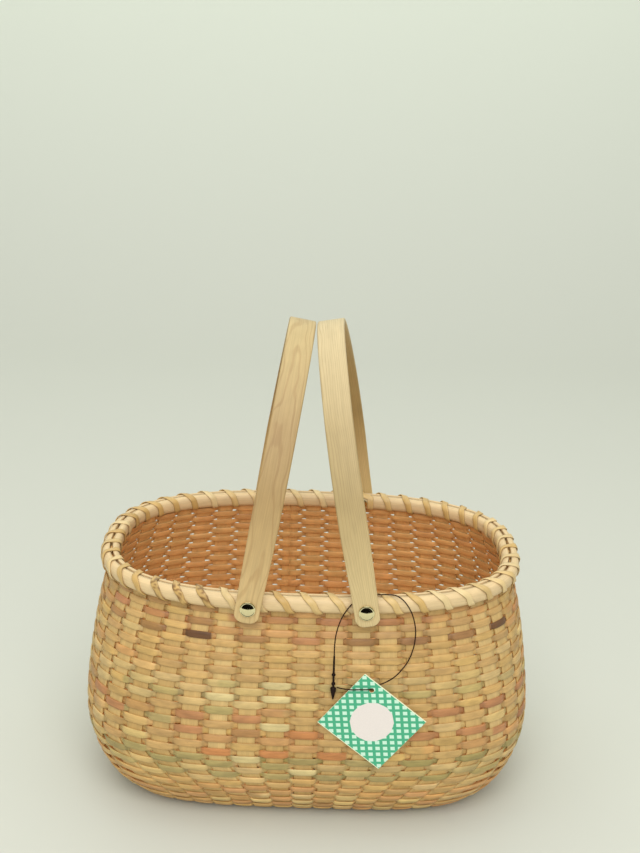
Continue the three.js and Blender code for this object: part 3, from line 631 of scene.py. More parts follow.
class BASKET_OT_tag(bpy.types.Operator):
    """Hangs the card tag on its loop of thin cord, locked by a barbed plug"""

    bl_idname = "basket.tag"
    bl_label = "Tag, cord and plug"

    def execute(self, context):
        card = self.make_card(context.scene.basket_colours)
        plug = self.make_plug()
        self.make_cord([card, plug])
        return {"FINISHED"}

    def make_cord(self, riders):
        # spun polyester, waxed: two plies. Their sheen and shade are painted: the colour is lighter along
        # each ply's crest and darker in the groove beside it.
        material, tree, shader = new_material("waxed_polyester_cord")
        place = add_node(tree, "Attribute", out="Vector", attribute_name="strip")
        along, around, _ = add_node(tree, "SeparateXYZ", [place]).node.outputs
        turn = add_node(tree, "Math", [along, 3.2, around], operation="MULTIPLY_ADD")
        ply = add_node(tree, "Math", [turn], operation="SINE")
        # painted sheen and shade from the ply's twist
        shade = add_node(tree, "MapRange", [ply, -1.0, 1.0, 0.0, 1.0])
        brown = {0: shade, 6: opaque("#1f110a"), 7: opaque("#422615")}
        brown = add_node(tree, "Mix", brown, 2, data_type="RGBA")
        bump = add_node(tree, "Bump", {"Strength": 0.8, "Distance": 0.00008, "Height": ply})
        dull = {"Base Color": brown, "Roughness": 0.6, "Specular IOR Level": 0.15, "Normal": bump}
        set_inputs(tree, shader, dull)

        route = smooth_route(CORD_ROUTE, ROUTE_STEPS)
        turns = 2 * np.pi * np.arange(CORD_SIDES) / CORD_SIDES
        # carry the first frame along the route, so that the tube doesn't twist
        tangent = unit(np.gradient(route, axis=0))
        side = [unit(np.cross(tangent[0], (0, 1, 0)))]
        for t in tangent[1:]:
            side.append(upright(side[-1], t))
        side = np.array(side)
        section = CORD_DIAMETER / 2 * np.stack([np.cos(turns), np.sin(turns)], -1)
        section = np.broadcast_to(section, (len(route), *section.shape))
        cord = make_piece(
            "tag_cord_twisted",
            sweep(route, side, np.cross(tangent, side), section),
            tube_faces(len(route), CORD_SIDES),
            material,
            ["tag_cord"],
            strip=strip_places(route, turns[None, :], 0.0),
        )

    def make_plug(self):
        # moulded nylon: dark, with the soft shine of a small moulded part
        material, tree, shader = new_material("moulded_nylon_plug")
        grain = add_node(tree, "TexNoise", {"Scale": 900.0, "Detail": 2.0}, "Fac")
        brown = {0: grain, 6: opaque("#140806"), 7: opaque("#26130d")}
        brown = add_node(tree, "Mix", brown, 2, data_type="RGBA")
        dull = {"Base Color": brown, "Roughness": 0.42, "Specular IOR Level": 0.15, "IOR": 1.53}
        set_inputs(tree, shader, dull)
        points, faces = lathe(PLUG_OUTLINE, PLUG_SIDES)
        return make_piece("tag_plug_barbed", points + PLUG_TIP, faces, material, ["tag_lock"])

    def card_material(self, colours):
        # coated card, printed on one side: smooth, faintly fibrous where it is bare
        material, tree, shader = new_material("printed_card")
        place = add_node(tree, "Attribute", out="Vector", attribute_name="strip")
        along, short, front = add_node(tree, "SeparateXYZ", [place]).node.outputs
        ways = []
        for slant, pitch in LATTICE:
            a, half = math.radians(slant), LATTICE_SHARE / 2
            way = [place, (math.cos(a) / pitch, math.sin(a) / pitch, 0)]
            way = add_node(tree, "VectorMath", way, "Value", operation="DOT_PRODUCT")
            way = add_node(tree, "Math", [way, 0.5], operation="PINGPONG")
            way = [way, half - 0.03, half + 0.03, 1.0, 0.0]
            ways.append(add_node(tree, "MapRange", way, interpolation_type="SMOOTHSTEP"))
        covered = add_node(tree, "Math", ways, operation="MAXIMUM")
        inks = {0: covered, 6: (*colours.card, 1), 7: (*colours.lattice, 1)}
        inks = add_node(tree, "Mix", inks, 2, data_type="RGBA")
        # the plain many-sided field in the middle
        angle = add_node(tree, "Math", [short, along], operation="ARCTAN2")
        angle = add_node(tree, "Math", [angle, math.pi / FIELD_SIDES], operation="PINGPONG")
        angle = add_node(tree, "Math", [angle], operation="COSINE")
        flat = add_node(tree, "VectorMath", [place, (1, 1, 0)], operation="MULTIPLY")
        reach = add_node(tree, "VectorMath", [flat], "Value", operation="LENGTH")
        reach = add_node(tree, "Math", [reach, angle], operation="MULTIPLY")
        field = add_node(tree, "MapRange", [reach, FIELD_RADIUS, FIELD_RADIUS + 0.2, 1.0, 0.0])
        # the print stops just short of the long edges
        edge = add_node(tree, "Math", [short], operation="ABSOLUTE")
        edge = add_node(tree, "MapRange", [edge, PRINT_HALF_WIDTH, PRINT_HALF_WIDTH + 0.15, 0.0, 1.0])
        face = add_node(tree, "Mix", {0: field, 6: inks, 7: opaque(FIELD_WHITE)}, 2, data_type="RGBA")
        face = add_node(tree, "Mix", {0: edge, 6: face, 7: opaque(BARE_CARD)}, 2, data_type="RGBA")
        face = add_node(tree, "Mix", {0: front, 6: opaque(BARE_CARD), 7: face}, 2, data_type="RGBA")
        fibre = add_node(tree, "TexNoise", {"Vector": place, "Scale": 2.2, "Detail": 4.0}, "Fac")
        shade = add_node(tree, "MapRange", [fibre, 0.3, 0.7, 0.96, 1.03])
        shaded = add_node(tree, "VectorMath", {0: face, "Scale": shade}, operation="SCALE")
        bump = add_node(tree, "Bump", {"Strength": 0.3, "Distance": 0.00002, "Height": fibre})
        set_inputs(tree, shader, {"Base Color": shaded, "Roughness": 0.55, "Normal": bump})
        return material

    def make_card(self, colours):
        # the face is a sheet of rings, from the hole's edge to the card's edge
        ring = 96
        turns = 2 * np.pi * np.arange(ring) / ring
        centre = np.array(TAG_HOLE)
        hole = centre + HOLE_RADIUS * np.stack([np.cos(turns), np.sin(turns)], -1)
        half = np.array([TAG_LENGTH / 2, TAG_WIDTH / 2]) - CARD_ROUNDING
        edge = []
        for t in turns:
            d = np.array([math.cos(t), math.sin(t)])
            reach = min((math.copysign(half[k], d[k]) - centre[k]) / d[k] for k in (0, 1) if abs(d[k]) > 1e-9)
            edge.append(centre + d * reach)
        edge = np.array(edge)
        for corner in ((1, 1), (-1, 1), (-1, -1), (1, -1)):
            edge[np.argmin(np.linalg.norm(edge - half * corner, axis=1))] = half * corner
        grid = np.array([hole + (edge - hole) * share for share in np.linspace(0, 1, 14) ** 1.3])
        rim_out = (edge + unit(edge) * CARD_ROUNDING)[None]
        hole_in = (hole + unit(centre - hole) * 0.04)[None]
        points, strip = [], []
        for places, deep, front in (
            (grid[::-1], TAG_THICKNESS, 1.0),
            (hole_in, TAG_THICKNESS - 0.05, 0.0),
            (hole_in, 0.05, 0.0),
            (grid, 0.0, 0.0),
            (rim_out, 0.06, 0.0),
            (rim_out, TAG_THICKNESS - 0.06, 0.0),
        ):
            places = places.reshape(-1, 2)
            points.append(tag_to_world(places[:, 0], places[:, 1], deep))
            strip.append(np.column_stack([places, np.full(len(places), front)]))
        points = np.vstack(points)
        faces = tube_faces(len(points) // ring, ring, closed=True)
        material = self.card_material(colours)
        strip = np.vstack(strip)
        return make_piece(
            "tag_card_printed", points, faces, material, ["tag_card"], strip=strip, smooth=False
        )


# ---------------------------------------------------------------- the stakes

WALL_MIDDLE = 1.56  # depth of the stakes' middle below the outer face of the wall
BASE_MIDDLE, BASE_LIFT = 3.05, 0.62  # height of the plaited base, and how far its strips rise and sink
CROSSING_SLOPE, BASE_OVERRUN = 0.24, 5.5  # a slope's share of the spacing; the run past the last crossing
HEEL_ARC, RING_RISE = 96, 0.6  # where a stake's points lie closer, and how far it rises under the foot ring
SINK, SINK_UNTIL, SINK_OVER = 0.85, 16, 15  # how deep the weave sinks under the hoops, and over which arc
STRAWS = ("#ceac6e", "#c9a567", "#d2b276", "#c6a162", "#cba86b")
# The pith side of the strips, which faces the inside of the basket, is redder than the skin side, and takes
# a share of the strip's own tone. Part of it is painted light: the pith tone is made paler than its own, for
# the light inside the basket.
PITH_AND_INNER_LIGHT = np.array(linear("#f8c07c"))
SKIN_SHARE, PITH_SHARE = 0.3, 0.7


def sink(arc):
    """How much deeper the weave lies where it passes under the hoops."""
    return ease(np.clip((SINK_UNTIL - np.asarray(arc, float)) / SINK_OVER, 0, 1), SINK)


def flat_section(width, thickness, crown):
    """The outline of a flat strip with softened edges and a crowned face, as (across, out) pairs."""
    across = np.linspace(-1, 1, 5)
    bulge, reach = crown * (1 - across**2), across * (width / 2 - 0.18)
    upper = np.stack([reach, thickness / 2 + bulge], -1)
    lower = np.stack([reach[::-1], -(thickness / 2 + bulge)[::-1] + bulge[::-1]], -1)
    return np.vstack([upper, [[width / 2, 0.0]], lower, [[-width / 2, 0.0]]])


def base_height(index, other, cross):
    """The height of a base strip's middle where it crosses another strip."""
    over = (index + other) % 2 == 0
    return BASE_MIDDLE + (BASE_LIFT if over == cross else -BASE_LIFT)


def stake_line(slots, index, cross):
    """The middle line of one strip, down the wall at one slot, across the base and up at the other slot, and
    a rough outward direction for each point."""
    steps = np.arange(ARC[0], HEEL_ARC, 2.4), np.arange(HEEL_ARC, FOOT_ARC + FOOT_RING - 2, 1.6)
    levels = np.concatenate(steps)
    depth = WALL_MIDDLE + sink(levels) + np.clip((levels - FOOT_ARC) / FOOT_RING, 0, 1) * RING_RISE
    ends = []
    for slot in slots:
        angle = place_angle(np.full(len(levels), float(slot)), levels)
        middle = wall(angle, levels, depth)
        ends.append((middle, middle - wall(angle, levels, depth + 1)))
    others, spacing = (LONG_STAKES, LONG_SPACING) if cross else (CROSS_STAKES, CROSS_SPACING)
    reach = others // 2 * spacing + BASE_OVERRUN
    run = np.arange(-reach, reach + 0.01, spacing / 8)
    lower = np.floor(run / spacing)
    # flat over a crossing, and a short slope in the gap between two crossings
    slope = ease(np.clip((run / spacing - lower - 0.5) / CROSSING_SLOPE + 0.5, 0, 1))
    first, second = (np.array([base_height(index, int(k) + n, cross) for k in lower]) for n in (0, 1))
    fixed = np.full(len(run), index * (CROSS_SPACING if cross else LONG_SPACING))
    flat = (fixed, run) if cross else (run, fixed)
    base = np.stack([*flat, first + (second - first) * slope], -1)
    down = np.tile(np.array([0.0, 0.0, -1.0]), (len(run), 1))
    line = np.vstack([ends[0][0], base, ends[1][0][::-1]])
    return line, np.vstack([ends[0][1], down, ends[1][1][::-1]])


class BASKET_OT_stakes(bpy.types.Operator):
    """Lays the plaited base and turns its strips up as the stakes of the wall"""

    bl_idname = "basket.stakes"
    bl_label = "Stakes and plaited base"

    def execute(self, context):
        # rattan split flat, scraped but not polished: pale straw, with the pores drawn out along it
        material = fibre_material(
            "split_rattan_stake", fibre=0.45, run=22.0, contrast=0.1, blotch=0.12, speck=0.12, roughness=0.52
        )
        sizes = context.scene.basket_sizes
        outline = flat_section(sizes.stake_width / MM, sizes.stake_thickness / MM, 0.12)
        straws = [np.array(linear(c)) for c in STRAWS]
        for kind, number in (("cross", CROSS_STAKES), ("long", LONG_STAKES)):
            cross, strips = kind == "cross", []
            for count in range(number):
                index = count - number // 2
                slots = LEFT_SLOT - index, index % STAKES
                if cross:
                    slots = FRONT_SLOT + index, REAR_SLOT - index
                line, outward = stake_line(slots, index, cross)
                section = np.broadcast_to(outline, (len(line), *outline.shape))
                rings = sweep(line, *strip_frame(line, outward), section)
                places = strip_places(line, section[..., 0], index * 1.7 + (0 if cross else 40.0))
                tint = straws[count * 3 % len(straws)] * rng.uniform(0.94, 1.05)
                tone = np.ones((*rings.shape[:2], 4))
                tone[..., :3] = tint
                # partly painted light: the inner faces take the pith tone, made paler for the light inside
                # the basket
                tone[:, 6:-1, :3] = tint * SKIN_SHARE + PITH_SHARE * PITH_AND_INNER_LIGHT
                strips.append((rings, places, tone))
            nodes = [f"{kind}_stake_{n + 1:02d}" for n in range(number)]
            make_strips(f"stakes_{kind}", strips, material, nodes)
        return {"FINISHED"}


# ---------------------------------------------------------------- the weavers

# Distance of each row's middle down the wall, in millimetres. The rows lie closer under the rim, and the
# last two are the flat ring that the basket stands on.
ROW_ARCS = [0.4, 3.9, 7.4, 11.0, 14.7, 18.1, 21.7, 25.2, 28.9, 32.6, 36.5, 40.3, 44.2, 48.0, 51.8, 55.8]
ROW_ARCS += [60.0, 64.2, 68.5, 72.6, 76.7, 80.8, 85.0, 89.0, 92.9, 96.8, 100.6, 104.3, 108.0, 111.7]
ROW_ARCS += [115.4, 119.1, 122.8, 126.5, 130.2, 133.9, 137.6, 141.2, 144.7, 147.5]

TONES = {
    "honey": "#cba566", "tan": "#c39c61", "straw": "#cfb074", "cream": "#d6c188", "peach": "#c5965d",
    "orange": "#c3824b", "reddish": "#b98253", "brown": "#ab7e4c", "umber": "#6e4a2c", "olive": "#b9a268",
    "green": "#ae9b61",
}

# How a row's strips are picked: down to which arc, and the share of each tone.
BANDS = [
    (2.0, {"peach": 0.5, "reddish": 0.25, "tan": 0.25}),
    (12.5, {"tan": 0.4, "honey": 0.25, "peach": 0.3, "reddish": 0.05}),
    (16.5, {"reddish": 0.45, "brown": 0.25, "peach": 0.3}),
    (40.0, {"honey": 0.35, "tan": 0.3, "straw": 0.25, "peach": 0.1}),
    (54.0, {"straw": 0.36, "honey": 0.3, "olive": 0.2, "peach": 0.14}),
    (66.0, {"peach": 0.34, "reddish": 0.16, "tan": 0.22, "olive": 0.14, "straw": 0.14}),
    (82.0, {"tan": 0.3, "honey": 0.22, "peach": 0.28, "reddish": 0.1, "straw": 0.1}),
    (98.5, {"green": 0.5, "olive": 0.25, "straw": 0.25}),
    (200.0, {"tan": 0.38, "peach": 0.26, "straw": 0.22, "honey": 0.14}),
]

# Floats that stand out, at the front: rows and stakes by tone. A row passes over every other stake.
FEATURES = {
    "umber": ((4, 32), (4, 44)),
    "brown": ((4, 34), (2, 32), (18, 34)),
    "reddish": ((4, 36), (16, 32), (16, 34), (18, 32), (16, 28), (17, 29)),
    "cream": ((11, 35), (13, 35), (13, 33), (17, 35), (22, 34), (24, 36)),
    "green": ((15, 33), (23, 33), (23, 35), (22, 32), (22, 30)),
    "orange": ((18, 36), (21, 35), (21, 37), (21, 33)),
    "peach": ((20, 36),),
}

# Where a weaver has its rings of points, in stakes: flat over a stake, then quickly down beside it.
FLOAT_STATIONS = np.array([0.0, 0.2, 0.32, 0.38, 0.44, 0.5, 0.56, 0.62, 0.68, 0.8])
FLATNESS = 2.6  # how squarely it bends there
# Half of the weaver's width as a share of the rows' distance, and how much is lost at a float's blunt tip.
HALF_WIDTH, TIP_SQUEEZE, TIP_REACH = 0.565, 0.115, 0.52
# The weaver's outline: across in half widths, out in half thicknesses, and its share of the crown. The
# first eight points are the crowned face with its rounded edges, the others the flat back.
WEAVER_OUTLINE = (
    (-1.0, -0.2, 0), (-0.95, 0.62, 0), (-0.84, 0.95, 0.2), (-0.3, 1.0, 0.9), (0.3, 1.0, 0.9),
    (0.84, 0.95, 0.2), (0.95, 0.62, 0), (1.0, -0.2, 0), (0.94, -0.75, 0), (0.8, -1.0, 0), (-0.8, -1.0, 0),
    (-0.94, -0.75, 0),
)
FACE_POINTS = 8
# Painted light and shade on the weavers: the crowns a touch paler, the dips where a weaver goes under a stake
# darker for the shade there, and the rows towards the foot lighter for the light the floor throws up onto
# them.
PAINTED_CROWN_LIGHT, PAINTED_DIP_SHADE, PAINTED_DIP_REACH = 1.01, 0.18, 0.24
FOOT_PAINTED_LIGHT, FOOT_PAINTED_LIGHT_FROM, FOOT_PAINTED_LIGHT_OVER = 0.15, 90, 15


def row_tints(number, arc, places):
    """The colour along one row, at places counted in stakes. A row is made of strips a few stakes long,
    each of one tone that drifts a little."""
    shares = next(shares for limit, shares in BANDS if arc < limit)
    names = list(shares)
    weights = np.array([shares[n] for n in names])
    tints = np.zeros((len(places), 3))
    start = places[0] - rng.uniform(0, 5)
    while start < places[-1] + 1:
        run = rng.uniform(2.5, 8)
        tone = np.array(linear(TONES[names[rng.choice(len(names), p=weights / weights.sum())]]))
        tints[(places >= start) & (places < start + run)] = tone * rng.uniform(0.92, 1.08)
        start += run
    # each float differs a little from the next, as light and wear vary along a strip
    floats = np.floor(places + 0.5).astype(int)
    for k in np.unique(floats):
        lightness = rng.uniform(0.9, 1.09)
        tints[floats == k] *= lightness * np.array([1.0, rng.uniform(0.97, 1.03), rng.uniform(0.92, 1.07)])
        for tone, places_of_tone in FEATURES.items():
            if (number, k % STAKES) in places_of_tone:
                tints[floats == k] = np.array(linear(TONES[tone])) * rng.uniform(0.95, 1.05)
    return tints


def weave_row(number, sizes):
    """The points, pattern places and colours of one row of weaving, as rings of points."""
    arc_level = ROW_ARCS[number]
    above, below = max(number - 1, 0), min(number + 1, len(ROW_ARCS) - 1)
    span = (ROW_ARCS[below] - ROW_ARCS[above]) / (below - above)
    # the seam lies at the back, inside a stake
    start = STAKES / 4 + number % 2 + 1
    places = start + np.append((np.arange(STAKES)[:, None] + FLOAT_STATIONS).ravel(), STAKES)
    over = np.cos(np.pi * (places + number))
    bend = np.tanh(FLATNESS * over) / math.tanh(FLATNESS)
    turns = 2 * np.pi * places / STAKES
    sway = sum(
        rng.uniform(0.02, 0.07) * np.sin(m * turns + rng.uniform(0, 6.3)) for m in (2, 3, 5, 8, 13)
    )
    arc = arc_level + sway
    depth = WALL_MIDDLE + sink(arc) - sizes.weaver_lift / MM * bend
    angle = place_angle(places, arc)
    centre = wall(angle, arc, depth)
    centre[-1] = centre[0]
    outward = wall(angle, arc, depth - 1) - centre
    tangent = np.gradient(centre, axis=0)
    tangent[0] = tangent[-1] = centre[1] - centre[-2]
    tangent = unit(tangent)
    upward = upright(wall(angle, arc - 0.5, depth) - wall(angle, arc + 0.5, depth), tangent)
    out = np.cross(upward, tangent)
    out *= np.sign((out * outward).sum(-1, keepdims=True))
    half = span * (HALF_WIDTH - TIP_SQUEEZE * np.clip(1 - np.abs(over) / TIP_REACH, 0, 1))
    floats = np.floor(places + 0.5).astype(int)
    widths = {k: rng.uniform(0.94, 1.03) for k in np.unique(floats)}
    half = half * np.array([widths[k] for k in floats])
    half[-1] = half[0]
    wide, deep, bulge = np.array(WEAVER_OUTLINE).T
    thick, crown = sizes.weaver_thickness / MM / 2, sizes.weaver_crown / MM
    section = np.stack(np.broadcast_arrays(wide * half[:, None], deep * thick + bulge * crown), -1)
    rings = sweep(centre, upward, out, section)
    # painted light: the rows towards the foot are made lighter, for the light the floor throws up onto them
    foot_painted_light = 1.0 + FOOT_PAINTED_LIGHT * min(1.0, max(0.0, arc_level - FOOT_PAINTED_LIGHT_FROM) / FOOT_PAINTED_LIGHT_OVER)
    tints = row_tints(number, arc_level, places) * foot_painted_light
    tints = np.repeat(np.column_stack([tints, np.ones(len(tints))])[:, None, :], len(wide), 1)
    # painted shade: the face is darkened where the weaver dips under a stake, and a touch paler on the crown
    dip = np.clip(1 - np.abs(over) / PAINTED_DIP_REACH, 0, 1)
    tints[:, :FACE_POINTS, :3] *= (PAINTED_CROWN_LIGHT - PAINTED_DIP_SHADE * dip)[:, None, None]
    # partly painted light: the back faces take the pith tone, made paler for the light inside the basket
    tints[:, FACE_POINTS:, :3] = tints[:, FACE_POINTS:, :3] * SKIN_SHARE + PITH_SHARE * PITH_AND_INNER_LIGHT
    return rings, strip_places(centre, section[..., 0], number * 2.3), tints


class BASKET_OT_weavers(bpy.types.Operator):
    """Weaves the rows of the wall in and out of the stakes"""

    bl_idname = "basket.weavers"
    bl_label = "Weavers"

    def execute(self, context):
        # rattan split narrow, with a little of its own skin left: a dull satin, streaked along the strip
        material = fibre_material(
            "split_rattan_weaver", fibre=0.3, run=9.0, contrast=0.18, blotch=0.2, speck=0.35, roughness=0.5
        )
        for name, first, last in (("upper", 0, 13), ("middle", 13, 26), ("lower", 26, len(ROW_ARCS))):
            rows = [weave_row(number, context.scene.basket_sizes) for number in range(first, last)]
            make_strips(f"weave_{name}", rows, material, ["weave_shell"])
        return {"FINISHED"}


# ---------------------------------------------------------------- the rim

HOOP_BULGE = 2.6  # squareness of the half-round hoops
CANE_BULGE = 3.2  # squareness of the lashing's way round them
SPECKLED_TURNS = (29, 30, 31)  # turns whose peel is spotted, counted in stakes from +X
PEELS = ("#dfc28a", "#d6b67a", "#ceaa69", "#e2c894", "#c9a464")
CANE_OUTLINE = (
    (-1, -0.1), (-0.88, 0.42), (-0.3, 0.5), (0.3, 0.5), (0.88, 0.42), (1, -0.1), (0.85, -0.5), (-0.85, -0.5),
)
CANE_EDGES, EDGE_SHADE = (0, 5), 0.6
SPOT_SHARE, SPOT_SHADE = 0.3, (0.45, 0.36, 0.3)
HOOP_RINGS, HOOP_STEPS = 384, 12
CANE_CLEAR = 0.12  # air between the cane and the hoops
CANE_FOLD = 0.3  # how much narrower it folds in the gap between two stakes
TURN_STEPS = 28
RIVET_REACH = {"inside": 0.36, "outside": 0.27}  # how far the cane keeps from a rivet, in stakes
# How far along its turn the cane has gone, for the angle round the rim's section.
TURN_AT = (-90, -60, -20, 0, 40, 90, 130, 180, 225, 270)
ALONG_AT = (0.0, 0.01, 0.05, 0.1, 0.22, 0.38, 0.52, 0.76, 0.96, 1.0)


def bulged(value, size, squareness):
    return size * math.copysign(abs(value) ** (2 / squareness), value)


class BASKET_OT_hoops(bpy.types.Operator):
    """Bends the two half-round hoops of the rim"""

    bl_idname = "basket.hoops"
    bl_label = "Hoops"

    def execute(self, context):
        # split rattan core, shaved half round: pale cream, with fine dark pores drawn out along the hoop
        material = fibre_material(
            "shaved_rattan_hoop", colour="#e0c495", fibre=0.36, run=16.0, contrast=0.17, blotch=0.08,
            speck=0.45, roughness=0.5, relief=0.08,
        )
        angle = slot_angle(np.linspace(0, STAKES, HOOP_RINGS, endpoint=False))
        for name, flat, crest, number in (
            ("outer", OUTER_HOOP, 0.0, 3.0),
            ("inner", OUTER_HOOP + HOOP_SLIT, RIM_THICKNESS, 8.0),
        ):
            section = [(0.0, -HOOP_HALF + 0.5), (0.0, HOOP_HALF - 0.5)]
            for step in range(HOOP_STEPS + 1):
                a = math.pi / 2 - math.pi * step / HOOP_STEPS
                deep = (crest - flat) * abs(math.cos(a)) ** (2 / HOOP_BULGE)
                section.append((deep, bulged(math.sin(a), HOOP_HALF, HOOP_BULGE)))
            rings = np.stack([rim(angle, flat + d, HOOP_MIDDLE + h) for d, h in section], 1)
            faces = tube_faces(len(rings), len(section), closed=True)
            if name == "inner":
                faces = [f[::-1] for f in faces]
            wide = lengths(np.array(section))[None, :]
            strip = strip_places(rim(angle, flat, HOOP_MIDDLE), wide, number)
            make_piece(f"hoop_{name}", rings, faces, material, [f"{name}_hoop"], strip=strip)
        return {"FINISHED"}


def node_middle(node):
    """The middle of a node's box along the basket, in millimetres."""
    low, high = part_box(node)
    return (low[0] + high[0]) / 2 / MM


def rivet_slots():
    """Where the rivets and their washers stand, counted in stakes, at the outer and the inner face."""
    centre = node_middle("rivet_front_right")
    found = {}
    for side, depth in (("outside", 0.0), ("inside", RIM_THICKNESS)):
        slots = np.linspace(0, STAKES, 9601)
        at = rim(slot_angle(slots), depth, 0.0)
        found[side] = []
        for sign in (-1, 1):
            for x_wanted in (-centre, centre):
                ok = np.sign(at[:, 1]) == sign
                found[side].append(float(slots[ok][np.argmin(np.abs(at[ok, 0] - x_wanted))]))
    return found


class BASKET_OT_lashing(bpy.types.Operator):
    """Winds flat cane round both hoops, once in every gap between two stakes"""

    bl_idname = "basket.lashing"
    bl_label = "Lashing"

    def execute(self, context):
        # rattan peel: the plant's own glossy skin, yellower than the core, and darker along its edges
        material = fibre_material(
            "rattan_peel_lashing", fibre=0.5, run=18.0, contrast=0.14, blotch=0.12, speck=0.2, roughness=0.38,
            relief=0.04,
        )
        sizes = context.scene.basket_sizes
        width, thick = sizes.lash_width / MM, sizes.lash_thickness / MM
        line, middle, dip = self.winding(thick)
        half = width / 2 * (1 - CANE_FOLD * dip)
        wide, deep = np.array(CANE_OUTLINE).T
        section = np.stack(np.broadcast_arrays(wide * half[:, None], deep * thick), -1)
        rings = sweep(line, *strip_frame(line, line - middle), section)
        tones = [np.array(linear(c)) for c in PEELS]
        tints = np.ones((len(line), len(wide), 4))
        for gap in range(STAKES + 1):
            tone = tones[rng.integers(len(tones))] * rng.uniform(0.94, 1.06)
            tints[gap * TURN_STEPS : (gap + 1) * TURN_STEPS, :, :3] = tone
        tints[:, CANE_EDGES, :3] *= EDGE_SHADE
        for gap in SPECKLED_TURNS:
            turn_points = tints[gap * TURN_STEPS : (gap + 1) * TURN_STEPS, :, :3]
            turn_points[rng.random(turn_points.shape[:2]) < SPOT_SHARE] *= SPOT_SHADE
        faces = tube_faces(len(rings), len(wide))
        strip = strip_places(line, section[..., 0], 0.0)
        make_piece(
            "lashing_cane", rings, faces, material, ["rim_lashing"], strip=strip, tint=tints
        )
        return {"FINISHED"}

    def winding(self, thick):
        """The cane's middle line, the middle of the rim at each of its points, and how far each point is
        down in the gap under the rim."""
        turn = np.linspace(-90, 270, TURN_STEPS, endpoint=False)
        along = np.interp(turn, TURN_AT, ALONG_AT)
        half_deep, half_high = (half + CANE_CLEAR + thick / 2 for half in (RIM_THICKNESS / 2, HOOP_HALF))
        rivets = rivet_slots()
        rows = []
        for gap in range(STAKES):
            for t, a in zip(np.radians(turn), along):
                slot = gap + 0.5 + a
                c, s = math.cos(t), math.sin(t)
                # it steps aside for the rivets outside and for their washers inside
                side, goal = ("inside", gap + 0.5) if c > 0 else ("outside", gap + 1.5)
                reach = RIVET_REACH[side]
                if abs(c) > 0.55:
                    for rivet in rivets[side]:
                        middle = rivet + STAKES * round((slot - rivet) / STAKES)
                        if abs(slot - middle) < reach:
                            slot = middle + math.copysign(reach, goal - middle)
                depth = RIM_THICKNESS / 2 + bulged(c, half_deep, CANE_BULGE)
                rows.append((slot, depth, HOOP_MIDDLE + bulged(s, half_high, CANE_BULGE)))
        rows.append((rows[0][0] + STAKES, *rows[0][1:]))
        places, depths, heights = np.array(rows).T
        places = np.convolve(np.pad(places, 1, mode="edge"), np.array([1, 2, 1]) / 4, "valid")
        angle = slot_angle(places)
        middle = rim(angle, np.full(len(angle), RIM_THICKNESS / 2), HOOP_MIDDLE)
        return rim(angle, depths, heights), middle, np.clip(-(heights - HOOP_MIDDLE) / half_high, 0, 1) ** 6


# ---------------------------------------------------------------- the handles and rivets

HANDLE_WIDTH, HANDLE_THICKNESS, HANDLE_OUTER = 15.2, 3.0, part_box("handle_right")[1][1] / MM
HANDLE_RISE, ARCH_START, HANDLE_TAIL = 138.3, 20.0, 8.3  # over and under the rivets
TAIL_ROUNDING, ARCH_SQUARENESS, ARCH_STEPS = 4.5, 1.85, 120
TAPER, TAPER_HEIGHT = 0.85, 45.0  # each edge draws in a little towards the rivets
TWIST_FROM, TWIST_TO = 10.0, 100.0  # heights over the rivets between which a twisted leg moves aside
PIVOT_Z = 136.7
# painted shade: the handles' inner faces are darkened and made more orange, for the shade they lie in
INNER_FACE, PAINTED_INNER_SHADE = slice(10, None), (0.98, 0.92, 0.8)
LIGHT_AND_SHADE_HEIGHTS = (-8, 20, 60, 95, 132)
# Side, its grain's offset, its twist and its tones at those heights. The left one is cut near the log's
# heart, so its rings run in flames; the right one's are straight. The tones by height are painted light and
# shade: darker up the legs, to take back the lamps' light on their upward-leaning faces, than at the foot and
# the crown.
HANDLES = (
    ("left", -1, 1.5, 0.0, ("#d2b57f", "#c9ab77", "#ab8d5b", "#ac8f5e", "#c1aa79")),
    ("right", 1, 16.0, 1.2, ("#d6bf8c", "#cdb684", "#b09969", "#b7a172", "#cdba8f")),
)


